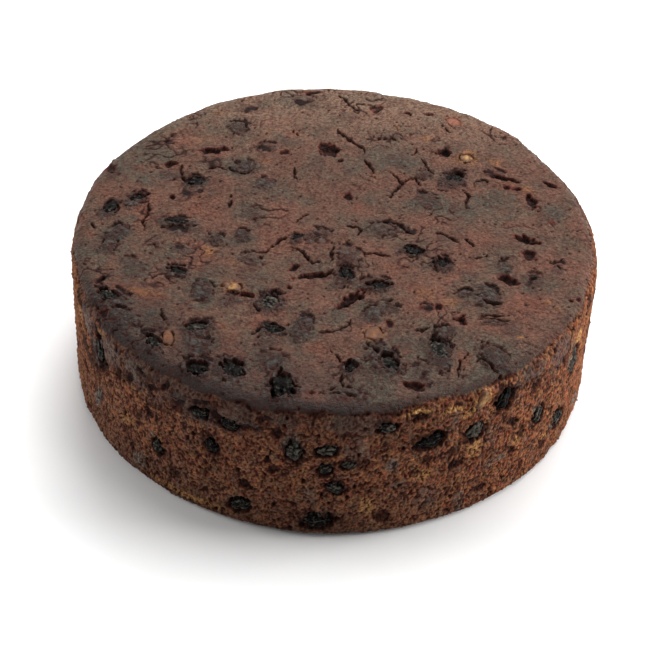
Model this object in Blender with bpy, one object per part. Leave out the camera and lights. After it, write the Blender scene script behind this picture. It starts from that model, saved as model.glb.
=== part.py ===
"""Round fruit cake as it leaves a deep 8 inch tin: one body of crumb and crust, with whole fruits set into it.

The cake stands on its flat base at z = 0, centred on the origin, +Z up. Its front faces -Y.
Places on the top are (x, y). Places on the side are (azimuth, height): azimuth 0 is the front (-Y),
90 is the right (+X). Lengths below are in millimetres and are scaled to metres once, by MM.
"""
import math

import bmesh
import bpy
import numpy as np
from mathutils import Matrix, Vector

MM = 0.001

# The cake body
CAKE_RADIUS = 100.0
RIM_HEIGHT = 60.7
CROWN = 1.0
RIM_ROUND = 6.3
FOOT_ROUND = 3.0
SEGMENTS = 48

# Where rings of the body lie: turns of the foot and of the rim in degrees, shares of the side and of the top
BASE_SHARE = 0.55
FOOT_TURNS = (0.0, 45.0, 90.0)
SIDE_SHARES = (0.33, 0.67)
RIM_TURNS = (0.0, 30.0, 60.0, 90.0)
TOP_SHARES = (0.86, 0.7, 0.52, 0.34, 0.16)

# Where the outline swells beyond its slow waves: azimuth, height of the swelling, half its spread in degrees
SWELLINGS = [
    (140.0, 2.0, 14.0),
    (249.0, 0.8, 9.0),
    (112.0, 0.6, 9.0),
]

# How the fruits sit: the gap round each one, and how far it stands out of the crust
SEAT_GAP = 0.35
TOP_PROUD = 0.9
SIDE_PROUD = 0.6
DEEP_GAP = 1.0
DEEP_PROUD = -0.1
DEPTH_RATIO = 0.62

# Points round a fruit and steps along it, for long and for short ones
SMALL_FRUIT = 7.5
LONG_GRID = (8, 5)
SHORT_GRID = (7, 4)

# The power that flattens a fruit where the crust or the tin pressed it (1 is round)
FLATNESS = 0.6

# Fruits showing in the top crust: x, y, length, width, heading of the length in degrees
TOP_RAISINS = [
    (-16.0, -87.0, 12.5, 10.5, 100),
    (-33.5, -80.0, 12.0, 8.6, 120),
    (-81.0, -43.5, 11.5, 8.0, 150),
    (-22.5, -43.5, 9.5, 8.2, 30),
    (-57.5, -28.5, 8.5, 6.0, 155),
    (-47.5, -58.5, 11.0, 6.4, 10),
    (-20.5, -58.5, 8.4, 6.2, 165),
    (-55.0, 27.0, 9.4, 7.2, 20),
    (-77.0, 14.5, 8.2, 6.0, 60),
    (-86.5, 8.5, 9.6, 6.0, 72),
    (-60.5, 1.0, 11.0, 5.0, 172),
    (45.5, 36.0, 10.4, 8.2, 60),
    (29.5, -10.5, 8.8, 6.0, 170),
    (17.0, -32.5, 9.6, 5.8, 5),
    (40.0, -17.5, 7.6, 6.2, 100),
    (39.0, -65.0, 11.6, 8.0, 102),
    (21.0, -74.0, 11.6, 8.6, 108),
    (4.6, -26.6, 8.0, 6.6, 120),
    (-14.0, -6.0, 5.0, 4.2, 40),
]

# Darker fruits that sit deeper, in holes of the crust: x, y, length, width, heading
DEEP_CURRANTS = [
    (-46.0, -79.5, 8.8, 7.4, 170),
    (-62.6, -67.0, 9.4, 5.4, 118),
    (7.6, -76.0, 6.8, 6.2, 60),
]

# Candied peel and cherry in the top crust: x, y, length, width, heading
TOP_PEEL = [
    (-57.4, -64.6, 7.8, 4.2, 98),
    (15.6, -57.8, 8.6, 6.8, 80),
    (51.0, 50.0, 6.2, 5.6, 20),
    (-36.5, -35.4, 7.2, 4.8, 165),
]
TOP_CHERRY = [
    (46.4, 76.0, 7.2, 6.0, 130),
]

# Fruits showing in the front half of the side: azimuth, height, length, width, heading from level
SIDE_RAISINS = [
    (21.5, 43.0, 12.0, 6.4, 8),
    (39.0, 50.6, 9.4, 8.2, 70),
    (-23.7, 35.0, 8.0, 5.4, 125),
    (-19.6, 48.4, 7.2, 4.6, 175),
    (-26.2, 49.0, 7.4, 5.2, 10),
    (-6.3, 41.8, 11.0, 6.4, 88),
    (0.2, 34.2, 5.8, 5.2, 60),
    (5.0, 36.8, 5.8, 4.4, 20),
    (2.6, 25.0, 7.4, 6.0, 160),
    (-1.0, 8.6, 12.0, 7.8, 4),
    (12.2, 53.0, 6.4, 4.8, 170),
    (0.6, 43.6, 8.2, 5.2, 15),
    (32.0, 41.0, 8.6, 7.6, 45),
    (-17.5, 9.8, 8.4, 7.0, 30),
    (60.0, 17.0, 9.6, 7.4, 140),
    (50.4, 31.0, 7.6, 6.2, 75),
    (-55.8, 46.0, 11.4, 6.0, 95),
    (-37.0, 22.0, 6.8, 5.8, 110),
    (64.6, 39.5, 12.0, 6.6, 80),
]
SIDE_PEEL = [
    (33.2, 54.6, 7.6, 4.8, 60),
]

# Fruits round the back of the side, one every BACK_STEP degrees
BACK_COUNT = 7
BACK_START = 96.0
BACK_STEP = 27.0
BACK_LOW = 11.0
BACK_SPAN = 38.0
BACK_STRIDE = 17.0
BACK_LENGTH = 8.0
BACK_GROWTH = 1.7
BACK_LONGER = 4.0
BACK_WIDTH_RATIO = 0.68
BACK_TURN = 47

# Holes left by bubbles in the top crust: x, y, length, width, heading
HOLES = [
    (-4.0, 52.4, 8.0, 6.0, 140),
    (-50.0, 48.4, 8.0, 3.8, 15),
    (42.2, 54.0, 5.0, 4.4, 0),
    (72.6, 0.8, 8.6, 3.8, 160),
    (73.2, -8.8, 5.4, 4.0, 140),
    (65.4, -24.4, 7.4, 4.4, 150),
    (46.8, -47.6, 4.8, 4.0, 90),
    (7.0, -39.2, 9.8, 4.6, 45),
    (30.2, -84.4, 6.4, 3.4, 165),
    (76.0, 24.0, 7.0, 3.0, 108),
    (66.0, 38.0, 11.0, 2.8, 160),
    (-7.6, -26.8, 12.0, 2.6, 16),
]
HOLE_DEPTH_RATIO = 0.9
HOLE_PROUD_RATIO = 0.45

# Folds of a fruit: the fewest of them, how many counts there are, and how far they twist from end to end
FEWEST_FOLDS = 3
FOLD_COUNTS = 3
FOLD_TWIST = 1.6

# How deep a fruit is wrinkled, and the power that squares its section (1 is round)
LOOKS = {
    "raisin": (0.10, 1.0),
    "peel": (0.0, 0.62),
    "cherry": (0.0, 0.85),
}

# Step over which the slope of the crust is taken, and the angle that keeps an edge sharp
SLOPE_STEP = 0.5
SHARP_ANGLE = 40.0

# Red, green, blue and roughness
COLOURS = {
    "cake": (0.105, 0.055, 0.036, 0.62),
    "raisin": (0.016, 0.011, 0.010, 0.42),
    "peel": (0.38, 0.19, 0.075, 0.45),
    "cherry": (0.27, 0.075, 0.035, 0.35),
}


def clear_scene():
    """Remove every object of the open scene."""
    for old in list(bpy.data.objects):
        bpy.data.objects.remove(old, do_unlink=True)


def make_material(name):
    """Principled material with the colour and the roughness of the named stuff."""
    red, green, blue, roughness = COLOURS[name]
    material = bpy.data.materials.new(name)
    material.use_nodes = True
    shader = material.node_tree.nodes["Principled BSDF"]
    shader.inputs["Base Color"].default_value = (red, green, blue, 1.0)
    shader.inputs["Roughness"].default_value = roughness
    shader.inputs["Metallic"].default_value = 0.0
    return material


def add_shell(bm, rings, first_pole, last_pole):
    """Add a closed skin to bm: rings of points joined in turn, with a fan of triangles at each end."""
    loops = [[bm.verts.new(point) for point in ring] for ring in rings]
    start = bm.verts.new(first_pole)
    end = bm.verts.new(last_pole)
    count = len(loops[0])
    for k in range(count):
        j = (k + 1) % count
        bm.faces.new((loops[0][j], loops[0][k], start))
        bm.faces.new((loops[-1][k], loops[-1][j], end))
        for lower, upper in zip(loops, loops[1:]):
            bm.faces.new((lower[k], lower[j], upper[j]))
            bm.faces.new((lower[k], upper[j], upper[k]))


def make_object(name, bm, material=None):
    """Turn bm into an object of the scene, with its faces pointing out."""
    bmesh.ops.recalc_face_normals(bm, faces=bm.faces)
    mesh = bpy.data.meshes.new(name)
    bm.to_mesh(mesh)
    bm.free()
    made = bpy.data.objects.new(name, mesh)
    bpy.context.collection.objects.link(made)
    if material is not None:
        mesh.materials.append(material)
        mesh.shade_smooth()
        mesh.set_sharp_from_angle(angle=math.radians(SHARP_ANGLE))
    return made


def outline(azimuth):
    """How far the outline stands out of the true circle: three slow waves left by the lining, and swellings."""
    out = (0.35 * np.cos(2 * azimuth + 0.7) + 0.30 * np.cos(3 * azimuth + 2.2)
           + 0.22 * np.cos(7 * azimuth + 0.4))
    for middle, height, spread in SWELLINGS:
        apart = (np.degrees(azimuth) - middle + 180.0) % 360.0 - 180.0
        out = out + height * np.exp(-(apart / spread) ** 2)
    return out


def top_relief(x, y):
    """Slow hills and hollows of the top crust: crossed waves of 40 to 70 mm."""
    return (0.32 * np.cos(x / 9.5 + 0.8) * np.cos(y / 8.0 + 0.3)
            + 0.22 * np.cos((x + y) / 6.5 + 2.0))


def crust_height(x, y):
    """Height of the top crust above the base: a low crown, the relief, and the round of the rim."""
    radius = math.hypot(x, y)
    height = RIM_HEIGHT + CROWN * (1.0 - (radius / CAKE_RADIUS) ** 2) + top_relief(x, y)
    past = min(max(radius - (CAKE_RADIUS - RIM_ROUND), 0.0), RIM_ROUND * 0.98)
    return height - (RIM_ROUND - math.sqrt(RIM_ROUND ** 2 - past ** 2))


def body_rings():
    """Rings of the cake from under its base, up its side, over its rim and in to the middle of its top."""
    azimuths = np.arange(SEGMENTS) * 2 * math.pi / SEGMENTS
    circle = np.stack([np.sin(azimuths), -np.cos(azimuths)], axis=1)
    wave = outline(azimuths)
    rings = []

    def add_ring(radii, heights):
        points = np.column_stack([circle * np.reshape(radii, (-1, 1)), heights * np.ones(SEGMENTS)])
        rings.append(points * MM)

    add_ring(np.full(SEGMENTS, CAKE_RADIUS * BASE_SHARE), 0.0)
    for turn in FOOT_TURNS:
        angle = math.radians(turn)
        radius = CAKE_RADIUS - FOOT_ROUND * (1.0 - math.sin(angle))
        add_ring(radius + wave, FOOT_ROUND * (1.0 - math.cos(angle)))
    side_top = RIM_HEIGHT - RIM_ROUND
    for share in SIDE_SHARES:
        add_ring(CAKE_RADIUS + wave, FOOT_ROUND + share * (side_top - FOOT_ROUND))
    inner = CAKE_RADIUS - RIM_ROUND
    edge = circle * inner
    for turn in RIM_TURNS:
        angle = math.radians(turn)
        radius = CAKE_RADIUS - RIM_ROUND * (1.0 - math.cos(angle))
        lift = math.sin(angle) * (CROWN * (1.0 - (inner / CAKE_RADIUS) ** 2) + top_relief(*edge.T))
        add_ring(radius + wave, side_top + RIM_ROUND * math.sin(angle) + lift)
    for share in TOP_SHARES:
        heights = [crust_height(x, y) for x, y in circle * share * inner]
        add_ring(np.full(SEGMENTS, share * inner), np.array(heights))
    return rings


def power(value, exponent):
    """Value raised to the exponent, with its sign kept."""
    return np.sign(value) * np.abs(value) ** exponent


def fruit_rings(length, width, depth, folds, wrinkle, square, grow, rounds, steps):
    """Rings of one fruit along its length, then its two ends.

    An ellipsoid of length by width by depth, flattened in its depth. Its section is drawn in by folds that
    run from end to end and twist, wrinkle deep, and is squarer the smaller the power square is. grow is added
    all round.
    """
    half = np.array([length, width, depth]) / 2 + grow
    around = np.arange(rounds) * 2 * math.pi / rounds
    rings = []
    for step in range(1, steps):
        along = math.pi * step / steps
        fold = 1.0 + wrinkle * math.sin(along) * np.cos(folds * around + FOLD_TWIST * along)
        flat = square * FLATNESS
        sideways = power(math.sin(along), square) * power(np.cos(around), square) * fold
        upward = power(math.sin(along), flat) * power(np.sin(around), flat) * fold
        lengthwise = np.full(rounds, power(math.cos(along), square))
        rings.append(np.column_stack([lengthwise, sideways, upward]) * half)
    return rings, np.array([half[0], 0, 0]), np.array([-half[0], 0, 0])


def seat_frame(place, normal, level, heading, depth, proud):
    """Place of a fruit: its depth along the normal, its length turned by heading from the level direction."""
    out = Vector(normal).normalized()
    first = Vector(level)
    first = (first - out * first.dot(out)).normalized()
    second = out.cross(first)
    angle = math.radians(heading)
    along = first * math.cos(angle) + second * math.sin(angle)
    across = out.cross(along)
    centre = Vector(place) - out * (depth / 2 - proud)
    turn = Matrix((along, across, out)).transposed().to_4x4()
    return Matrix.Translation(centre * MM) @ turn


def top_seat(x, y, heading, depth, proud):
    """Seat of a fruit in the top crust or in the round of the rim."""
    slope_x = (crust_height(x + SLOPE_STEP, y) - crust_height(x - SLOPE_STEP, y)) / (2 * SLOPE_STEP)
    slope_y = (crust_height(x, y + SLOPE_STEP) - crust_height(x, y - SLOPE_STEP)) / (2 * SLOPE_STEP)
    place = (x, y, crust_height(x, y))
    return seat_frame(place, (-slope_x, -slope_y, 1.0), (1.0, 0.0, 0.0), heading, depth, proud)


def side_seat(azimuth, height, heading, depth, proud):
    """Seat of a fruit in the upright side."""
    angle = math.radians(azimuth)
    radius = CAKE_RADIUS + float(outline(angle))
    place = (radius * math.sin(angle), -radius * math.cos(angle), height)
    normal = (math.sin(angle), -math.cos(angle), 0.0)
    level = (math.cos(angle), math.sin(angle), 0.0)
    return seat_frame(place, normal, level, heading, depth, proud)


def add_fruit(bm, seat, length, width, style, grow):
    """Add one fruit, or with grow the cutter of its seat, to bm."""
    depth, folds, wrinkle, square = style
    rounds, steps = LONG_GRID if length > SMALL_FRUIT else SHORT_GRID
    rings, tip, tail = fruit_rings(length, width, depth, folds, wrinkle, square, grow, rounds, steps)
    placed = [[seat @ Vector(point * MM) for point in ring] for ring in rings]
    add_shell(bm, placed, seat @ Vector(tip * MM), seat @ Vector(tail * MM))


def back_fruits():
    """Places of the fruits round the back: level steps of azimuth, heights that stride through the side."""
    places = []
    for i in range(BACK_COUNT):
        azimuth = BACK_START + BACK_STEP * i
        height = BACK_LOW + (BACK_STRIDE * i) % BACK_SPAN
        length = BACK_LENGTH + (BACK_GROWTH * i) % BACK_LONGER
        places.append((azimuth, height, length, length * BACK_WIDTH_RATIO, (BACK_TURN * i) % 180))
    return places


def all_fruits():
    """Every fruit as kind, seat, length, width, style and the gap round it."""
    fruits = []

    def add(kind, seat_of, rows, proud, gap=SEAT_GAP):
        wrinkle, square = LOOKS[kind]
        for i, (a, b, length, width, heading) in enumerate(rows):
            depth = width * DEPTH_RATIO
            style = (depth, FEWEST_FOLDS + i % FOLD_COUNTS, wrinkle, square)
            fruits.append((kind, seat_of(a, b, heading, depth, proud), length, width, style, gap))

    add("raisin", top_seat, TOP_RAISINS, TOP_PROUD)
    add("raisin", top_seat, DEEP_CURRANTS, DEEP_PROUD, DEEP_GAP)
    add("raisin", side_seat, SIDE_RAISINS, SIDE_PROUD)
    add("raisin", side_seat, back_fruits(), SIDE_PROUD)
    add("peel", top_seat, TOP_PEEL, TOP_PROUD)
    add("peel", side_seat, SIDE_PEEL, SIDE_PROUD)
    add("cherry", top_seat, TOP_CHERRY, TOP_PROUD)
    return fruits


def make_cutters(fruits):
    """One hidden object that holds the seats of all the fruits and the bubble holes."""
    bm = bmesh.new()
    for _kind, seat, length, width, style, gap in fruits:
        add_fruit(bm, seat, length, width, style, gap)
    for x, y, length, width, heading in HOLES:
        depth = width * HOLE_DEPTH_RATIO
        seat = top_seat(x, y, heading, depth, depth * HOLE_PROUD_RATIO)
        rings, tip, tail = fruit_rings(length, width, depth, 1, 0.0, 1.0, 0.0, *SHORT_GRID)
        placed = [[seat @ Vector(point * MM) for point in ring] for ring in rings]
        add_shell(bm, placed, seat @ Vector(tip * MM), seat @ Vector(tail * MM))
    cutter = make_object("seats", bm)
    cutter.hide_render = True
    cutter.display_type = "WIRE"
    return cutter


def make_cake(cutter):
    """The cake body, with a seat cut for each fruit."""
    bm = bmesh.new()
    add_shell(bm, body_rings(), (0, 0, 0), (0, 0, crust_height(0, 0) * MM))
    cake = make_object("cake", bm, make_material("cake"))
    cut = cake.modifiers.new("seats", "BOOLEAN")
    cut.operation = "DIFFERENCE"
    cut.solver = "EXACT"
    cut.object = cutter
    return cake


def make_fruits(fruits):
    """One object for each fruit, numbered within its kind."""
    materials = {kind: make_material(kind) for kind in ("raisin", "peel", "cherry")}
    numbers = dict.fromkeys(materials, 0)
    for kind, seat, length, width, style, _gap in fruits:
        numbers[kind] += 1
        bm = bmesh.new()
        add_fruit(bm, seat, length, width, style, 0.0)
        make_object(f"{kind}_{numbers[kind]:02d}", bm, materials[kind])


def main():
    clear_scene()
    fruits = all_fruits()
    cutter = make_cutters(fruits)
    make_cake(cutter)
    make_fruits(fruits)


main()
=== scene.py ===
"""Looks of the fruit cake: crust and crumb as dense skins, its fruits, peel and cherry, and loose crumbs.

Shapes are worked out in millimetres as whole numpy arrays and become metres when they are made into meshes.
A place on the cake's skin is an arc length from the middle of the top, out over the rim and down the side,
and an azimuth, which is 0 at the front (-Y) and grows towards the right (+X).
"""
import math

import bpy
import numpy as np
from mathutils import Matrix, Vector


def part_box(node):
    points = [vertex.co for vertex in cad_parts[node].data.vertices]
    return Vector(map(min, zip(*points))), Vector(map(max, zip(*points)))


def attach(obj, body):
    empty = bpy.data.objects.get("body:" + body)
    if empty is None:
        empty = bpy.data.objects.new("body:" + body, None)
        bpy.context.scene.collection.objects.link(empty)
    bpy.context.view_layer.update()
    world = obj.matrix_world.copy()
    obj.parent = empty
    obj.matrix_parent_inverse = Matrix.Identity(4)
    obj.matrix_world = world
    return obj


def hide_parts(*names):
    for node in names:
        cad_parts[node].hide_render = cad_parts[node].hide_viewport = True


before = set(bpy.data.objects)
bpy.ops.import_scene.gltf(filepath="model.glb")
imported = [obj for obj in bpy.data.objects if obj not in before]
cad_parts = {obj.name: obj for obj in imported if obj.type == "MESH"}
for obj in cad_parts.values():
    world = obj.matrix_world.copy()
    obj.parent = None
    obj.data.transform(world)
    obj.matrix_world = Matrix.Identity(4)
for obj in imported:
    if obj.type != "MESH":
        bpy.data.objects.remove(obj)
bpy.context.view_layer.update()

MM = 0.001

# The cake's form, read from the frame where it can be
LOW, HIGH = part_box("cake")
CROWN = 1.0
TOP_SWELL = 0.4
RADIUS = (HIGH.x - LOW.x + HIGH.y - LOW.y) / 4 / MM
RIM = HIGH.z / MM - CROWN - TOP_SWELL
RIM_ROUND = 6.3
FOOT_ROUND = 3.0
FLAT = RADIUS - RIM_ROUND
SIDE = RIM - RIM_ROUND - FOOT_ROUND
SIDE_START = FLAT + RIM_ROUND * math.pi / 2
SKIN_END = SIDE_START + SIDE + FOOT_ROUND * math.pi / 2

# Where the outline swells beyond its slow waves: azimuth, height, and half its spread in degrees
SWELLINGS = [
    (140.0, 2.0, 14.0),
    (249.0, 0.8, 9.0),
    (112.0, 0.6, 9.0),
]

# Where the top skin meets the side skin, and how finely both are made
TOP_END = FLAT + 5.0
TOP_STEPS = 208
SIDE_STEPS = 118

# Cracks in the top crust: width, then the points of each crack
CRACKS = [
    (1.2, [(-1, 91), (1, 89), (3, 86), (7, 81)]),
    (1.3, [(-1, 67), (0, 64), (3, 61), (7, 57), (10, 54), (11, 51)]),
    (1.1, [(9.5, 49), (11, 46), (13, 42), (15, 37)]),
    (0.8, [(14, 63), (17, 61), (20, 62), (24, 60.5)]),
    (0.7, [(31, 57), (30, 52)]),
    (1.0, [(33, 50), (34.5, 46), (36, 41), (38, 38)]),
    (1.4, [(20.5, 39), (24, 35), (25.5, 32), (22, 27), (20.5, 21.5)]),
    (1.0, [(25.5, 32), (28, 35.5), (31, 35.5), (32.5, 31)]),
    (0.9, [(49, 30), (51.5, 27), (50, 22), (51, 16)]),
    (0.6, [(53, 31), (54, 36), (57.5, 37), (60, 34)]),
    (1.1, [(12, 2.5), (15, 6), (20, 7.8), (25, 6), (27, 2), (30, 0)]),
    (1.1, [(3, 3.4), (9, 3.6), (10.5, 1.2), (8.6, -2)]),
    (1.5, [(37.5, 2.5), (41, 1.5), (44, -1), (48, -5)]),
    (1.1, [(49, -1), (51, -3), (53, -6)]),
    (1.0, [(-17, -4), (-20.5, -7), (-23, -11), (-25.5, -14.4), (-29, -15.4)]),
    (1.1, [(-17, -10.6), (-13, -12.4), (-9.5, -17), (-7.6, -19.4), (-4.6, -18.6)]),
    (1.1, [(0.4, -8), (-0.8, -13), (-0.6, -19)]),
    (1.2, [(-13.6, -29.4), (-9, -27.4), (-3, -26), (0.4, -22.6)]),
    (1.3, [(2.6, -22), (6, -24.4), (7.8, -28), (5.4, -29.6)]),
    (1.0, [(10, -10), (12, -13), (15.4, -12), (18, -13.2), (21, -13.6)]),
    (0.8, [(36.6, -14), (37.6, -18), (38.6, -22)]),
    (0.8, [(40, -12), (43, -14.6), (45.5, -18)]),
    (0.6, [(52, -12), (55, -11.6), (58, -10)]),
    (1.0, [(12, -35), (9.6, -36.6), (7, -40), (4, -43), (1, -45.6)]),
    (0.9, [(-4.6, -58.4), (1, -58), (5.6, -54.6), (7.6, -50)]),
    (1.0, [(0, -66.6), (3, -70), (5.4, -74.6)]),
    (1.0, [(4.6, -79.6), (4.4, -83), (5.6, -86.4)]),
    (0.8, [(-3.6, -89.6), (1, -89.4), (6, -89.2), (11, -91)]),
    (1.4, [(13, -63), (16, -66), (18, -70)]),
    (1.0, [(49.4, -65.6), (46.4, -70), (45.6, -78)]),
    (1.3, [(53.6, -67.6), (57.6, -72), (60.6, -76.4), (62, -79)]),
    (0.9, [(-61.4, 38), (-61.6, 34), (-60, 30), (-59, 26)]),
    (0.7, [(-51, 36.6), (-47, 37.4), (-43.6, 36)]),
    (1.0, [(-43, 37), (-39.6, 34), (-35.6, 33.4), (-32.6, 38)]),
    (0.8, [(-46.6, 68.6), (-42, 69.4), (-38, 66.6), (-36.6, 62)]),
    (0.8, [(-39.6, 87), (-40.4, 84), (-42, 81.6)]),
    (0.7, [(-66.6, 59), (-68.4, 56), (-69.4, 52.6)]),
    (0.8, [(-18.6, 66), (-17.6, 63), (-16.6, 60.6)]),
    (0.8, [(-72, 14), (-71.4, 8), (-73, 2), (-71.6, -4)]),
    (0.9, [(-82.6, 10), (-83.6, 7), (-85, 4.6)]),
    (0.9, [(-94, 0), (-92.6, -2.4), (-91, -4)]),
    (0.8, [(-16.6, 40), (-17, 35), (-15.6, 31)]),
    (0.8, [(-9.6, 9.6), (-13, 7), (-14.6, 3.6)]),
    (0.7, [(-40.6, 20), (-40.6, 15), (-41.6, 11)]),
    (0.8, [(-24, -38.6), (-21, -36.6), (-18.6, -38.4)]),
    (1.0, [(-28.6, -44), (-27, -47), (-24.6, -48.6)]),
    (1.0, [(30, -54.6), (32.6, -54.8), (35.4, -53)]),
    (0.8, [(36, -56), (38.4, -59), (42, -60.6), (43.6, -63.6)]),
    (0.8, [(-61.6, -50), (-60.6, -53), (-59.4, -57)]),
    (0.8, [(-28.6, -61), (-25, -58), (-22, -56)]),
    (1.3, [(61.6, -38.4), (57, -38), (55, -36)]),
    (1.1, [(54, -44.4), (59, -44.2), (63, -44.8)]),
    (1.1, [(53.6, -47), (58.6, -46.6), (63.4, -47.4)]),
    (0.8, [(80, -11), (83, -13.6), (85, -17)]),
    (0.8, [(27.6, 80.6), (28.6, 79), (29.4, 77.4)]),
    (0.8, [(41, 74), (43.6, 71), (44.6, 67.6)]),
]

# Bubble holes and torn pits in the top crust: x, y, length, width, heading, depth
PITS = [
    (-4.0, 52.4, 8.4, 6.2, 140, 3.2),
    (-50.0, 48.4, 8.6, 3.9, 15, 3.0),
    (42.2, 54.0, 5.0, 4.4, 0, 3.0),
    (1.5, 44.6, 2.4, 2.2, 0, 1.6),
    (-65.6, 38.8, 4.8, 3.0, 10, 2.0),
    (-63.4, 17.4, 4.0, 2.0, 120, 2.0),
    (-73.4, 18.6, 3.0, 2.0, 30, 1.2),
    (-88.8, 35.0, 7.4, 3.0, 100, 1.6),
    (-12.0, 92.2, 6.0, 2.2, 5, 1.6),
    (4.4, 21.4, 3.4, 2.8, 100, 1.8),
    (15.0, 82.6, 6.0, 4.0, 50, 1.0),
    (36.0, 80.0, 3.0, 2.0, 0, 1.4),
    (27.4, 80.2, 2.6, 2.0, 120, 1.2),
    (66.0, 38.2, 11.5, 2.6, 160, 2.2),
    (83.0, 36.6, 5.6, 2.2, 145, 1.8),
    (66.0, 32.4, 2.6, 2.0, 0, 1.4),
    (70.0, 32.2, 3.0, 2.0, 160, 1.4),
    (76.0, 24.2, 7.6, 2.8, 108, 2.4),
    (72.6, 0.6, 8.8, 3.6, 160, 2.8),
    (73.2, -8.8, 5.6, 3.8, 140, 2.0),
    (65.4, -24.4, 7.8, 4.0, 150, 2.6),
    (74.0, -22.2, 2.6, 1.8, 30, 1.2),
    (87.8, -34.2, 2.2, 1.8, 0, 1.4),
    (91.2, -32.6, 2.2, 1.8, 40, 1.2),
    (39.0, -41.4, 3.6, 3.0, 90, 1.8),
    (46.8, -47.6, 4.8, 3.8, 90, 2.6),
    (7.0, -39.4, 10.0, 4.2, 45, 2.8),
    (-7.6, -26.8, 11.0, 2.6, 16, 2.4),
    (-14.6, -22.2, 3.8, 3.0, 60, 1.8),
    (-15.6, -34.2, 2.6, 2.0, 150, 1.4),
    (-31.6, -39.4, 5.0, 2.8, 10, 2.0),
    (-22.0, 49.4, 4.0, 3.4, 0, 1.4),
    (-85.4, -33.8, 4.6, 1.9, 65, 1.8),
    (30.2, -84.4, 6.8, 3.2, 165, 2.4),
    (-5.0, -89.6, 2.2, 1.8, 0, 1.2),
    (21.4, -51.0, 3.2, 2.2, 150, 1.2),
    (34.0, -43.2, 4.0, 2.2, 0, 0.8),
    (-81.0, -51.6, 4.4, 3.0, 150, 1.4),
    (83.4, 12.0, 3.4, 3.0, 60, 0.7),
]

# Fruits that lie under the skin of the crust: x, y, length, width, heading, strength
BURIED = [
    (-37.0, 37.6, 10.5, 9.0, 60, 1.0),
    (-27.6, 27.6, 8.5, 6.5, 80, 0.9),
    (-28.0, 52.0, 8.0, 5.6, 0, 0.6),
    (-40.4, 64.6, 9.0, 8.0, 110, 0.8),
    (-38.0, 78.0, 8.0, 7.0, 0, 0.5),
    (-15.0, 85.0, 13.0, 9.0, 160, 0.5),
    (-66.0, 31.0, 10.0, 6.0, 20, 0.6),
    (-87.0, 31.0, 8.0, 4.6, 70, 0.7),
    (-82.0, -6.4, 11.5, 7.6, 50, 1.0),
    (-85.0, -51.0, 6.0, 5.0, 0, 1.0),
    (-84.4, -15.0, 9.0, 6.6, 60, 0.9),
    (-74.0, -25.0, 10.0, 7.0, 150, 0.5),
    (-45.0, -8.0, 6.4, 5.6, 0, 0.9),
    (-35.0, -5.4, 8.0, 6.0, 90, 1.0),
    (-57.0, -15.0, 7.0, 6.0, 0, 0.6),
    (-47.0, -38.0, 13.0, 7.4, 95, 1.0),
    (-37.0, -43.0, 8.0, 6.4, 0, 0.7),
    (-75.0, -55.0, 15.0, 9.6, 150, 0.8),
    (-45.4, -69.0, 9.0, 8.0, 60, 1.0),
    (-10.0, -57.0, 14.0, 7.6, 84, 1.0),
    (-20.0, -74.6, 11.0, 9.0, 170, 0.9),
    (-22.6, -64.0, 10.0, 6.6, 40, 0.6),
    (-7.0, -4.0, 12.0, 8.6, 30, 0.8),
    (5.6, -14.6, 12.0, 9.0, 100, 0.7),
    (19.0, 2.6, 13.0, 9.0, 10, 0.7),
    (35.0, 21.0, 12.0, 8.6, 140, 0.7),
    (34.6, 38.0, 7.0, 6.0, 60, 0.7),
    (24.0, 46.0, 12.0, 9.0, 20, 0.4),
    (56.6, -34.0, 13.0, 10.0, 120, 0.9),
    (64.0, -17.0, 8.0, 5.4, 100, 0.8),
    (59.0, -48.6, 10.0, 3.0, 0, 0.8),
    (15.6, -46.0, 13.0, 5.6, 40, 0.9),
    (23.4, -44.6, 5.0, 3.6, 20, 0.8),
    (34.0, -43.0, 5.0, 4.0, 0, 0.6),
    (41.0, -55.4, 8.4, 5.6, 0, 0.9),
    (58.6, -67.6, 13.0, 10.0, 130, 0.9),
    (7.0, -91.0, 14.0, 7.0, 0, 0.7),
    (33.0, -78.0, 14.0, 8.0, 100, 0.6),
    (15.0, -69.0, 8.0, 6.0, 60, 0.8),
    (74.6, -24.0, 9.0, 7.0, 100, 0.5),
    (84.0, -16.0, 7.0, 5.0, 60, 0.6),
    (83.0, 16.0, 9.0, 7.0, 60, 0.4),
    (62.0, 41.0, 9.0, 4.0, 170, 0.6),
    (-31.0, 8.0, 8.0, 6.0, 80, 0.5),
    (-59.0, -4.0, 13.0, 5.0, 10, 0.6),
    (-56.0, 21.0, 9.0, 5.0, 20, 0.5),
    (3.0, -30.0, 9.0, 6.0, 60, 0.7),
    (-80.0, -44.6, 15.0, 7.6, 170, 1.0),
    (-36.0, -80.0, 13.0, 10.0, 130, 1.0),
    (-46.0, -79.0, 11.0, 10.0, 0, 1.0),
    (-63.0, -67.0, 12.0, 7.0, 125, 0.9),
    (-49.0, -62.0, 9.0, 9.0, 0, 0.8),
    (-31.0, -20.0, 7.0, 9.0, 60, 0.8),
    (20.0, -71.0, 20.0, 9.0, 125, 1.0),
    (39.0, -69.0, 16.0, 8.0, 100, 1.0),
    (48.5, -34.0, 5.0, 7.0, 120, 0.9),
    (15.0, -31.0, 14.0, 7.0, 10, 0.7),
]

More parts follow.
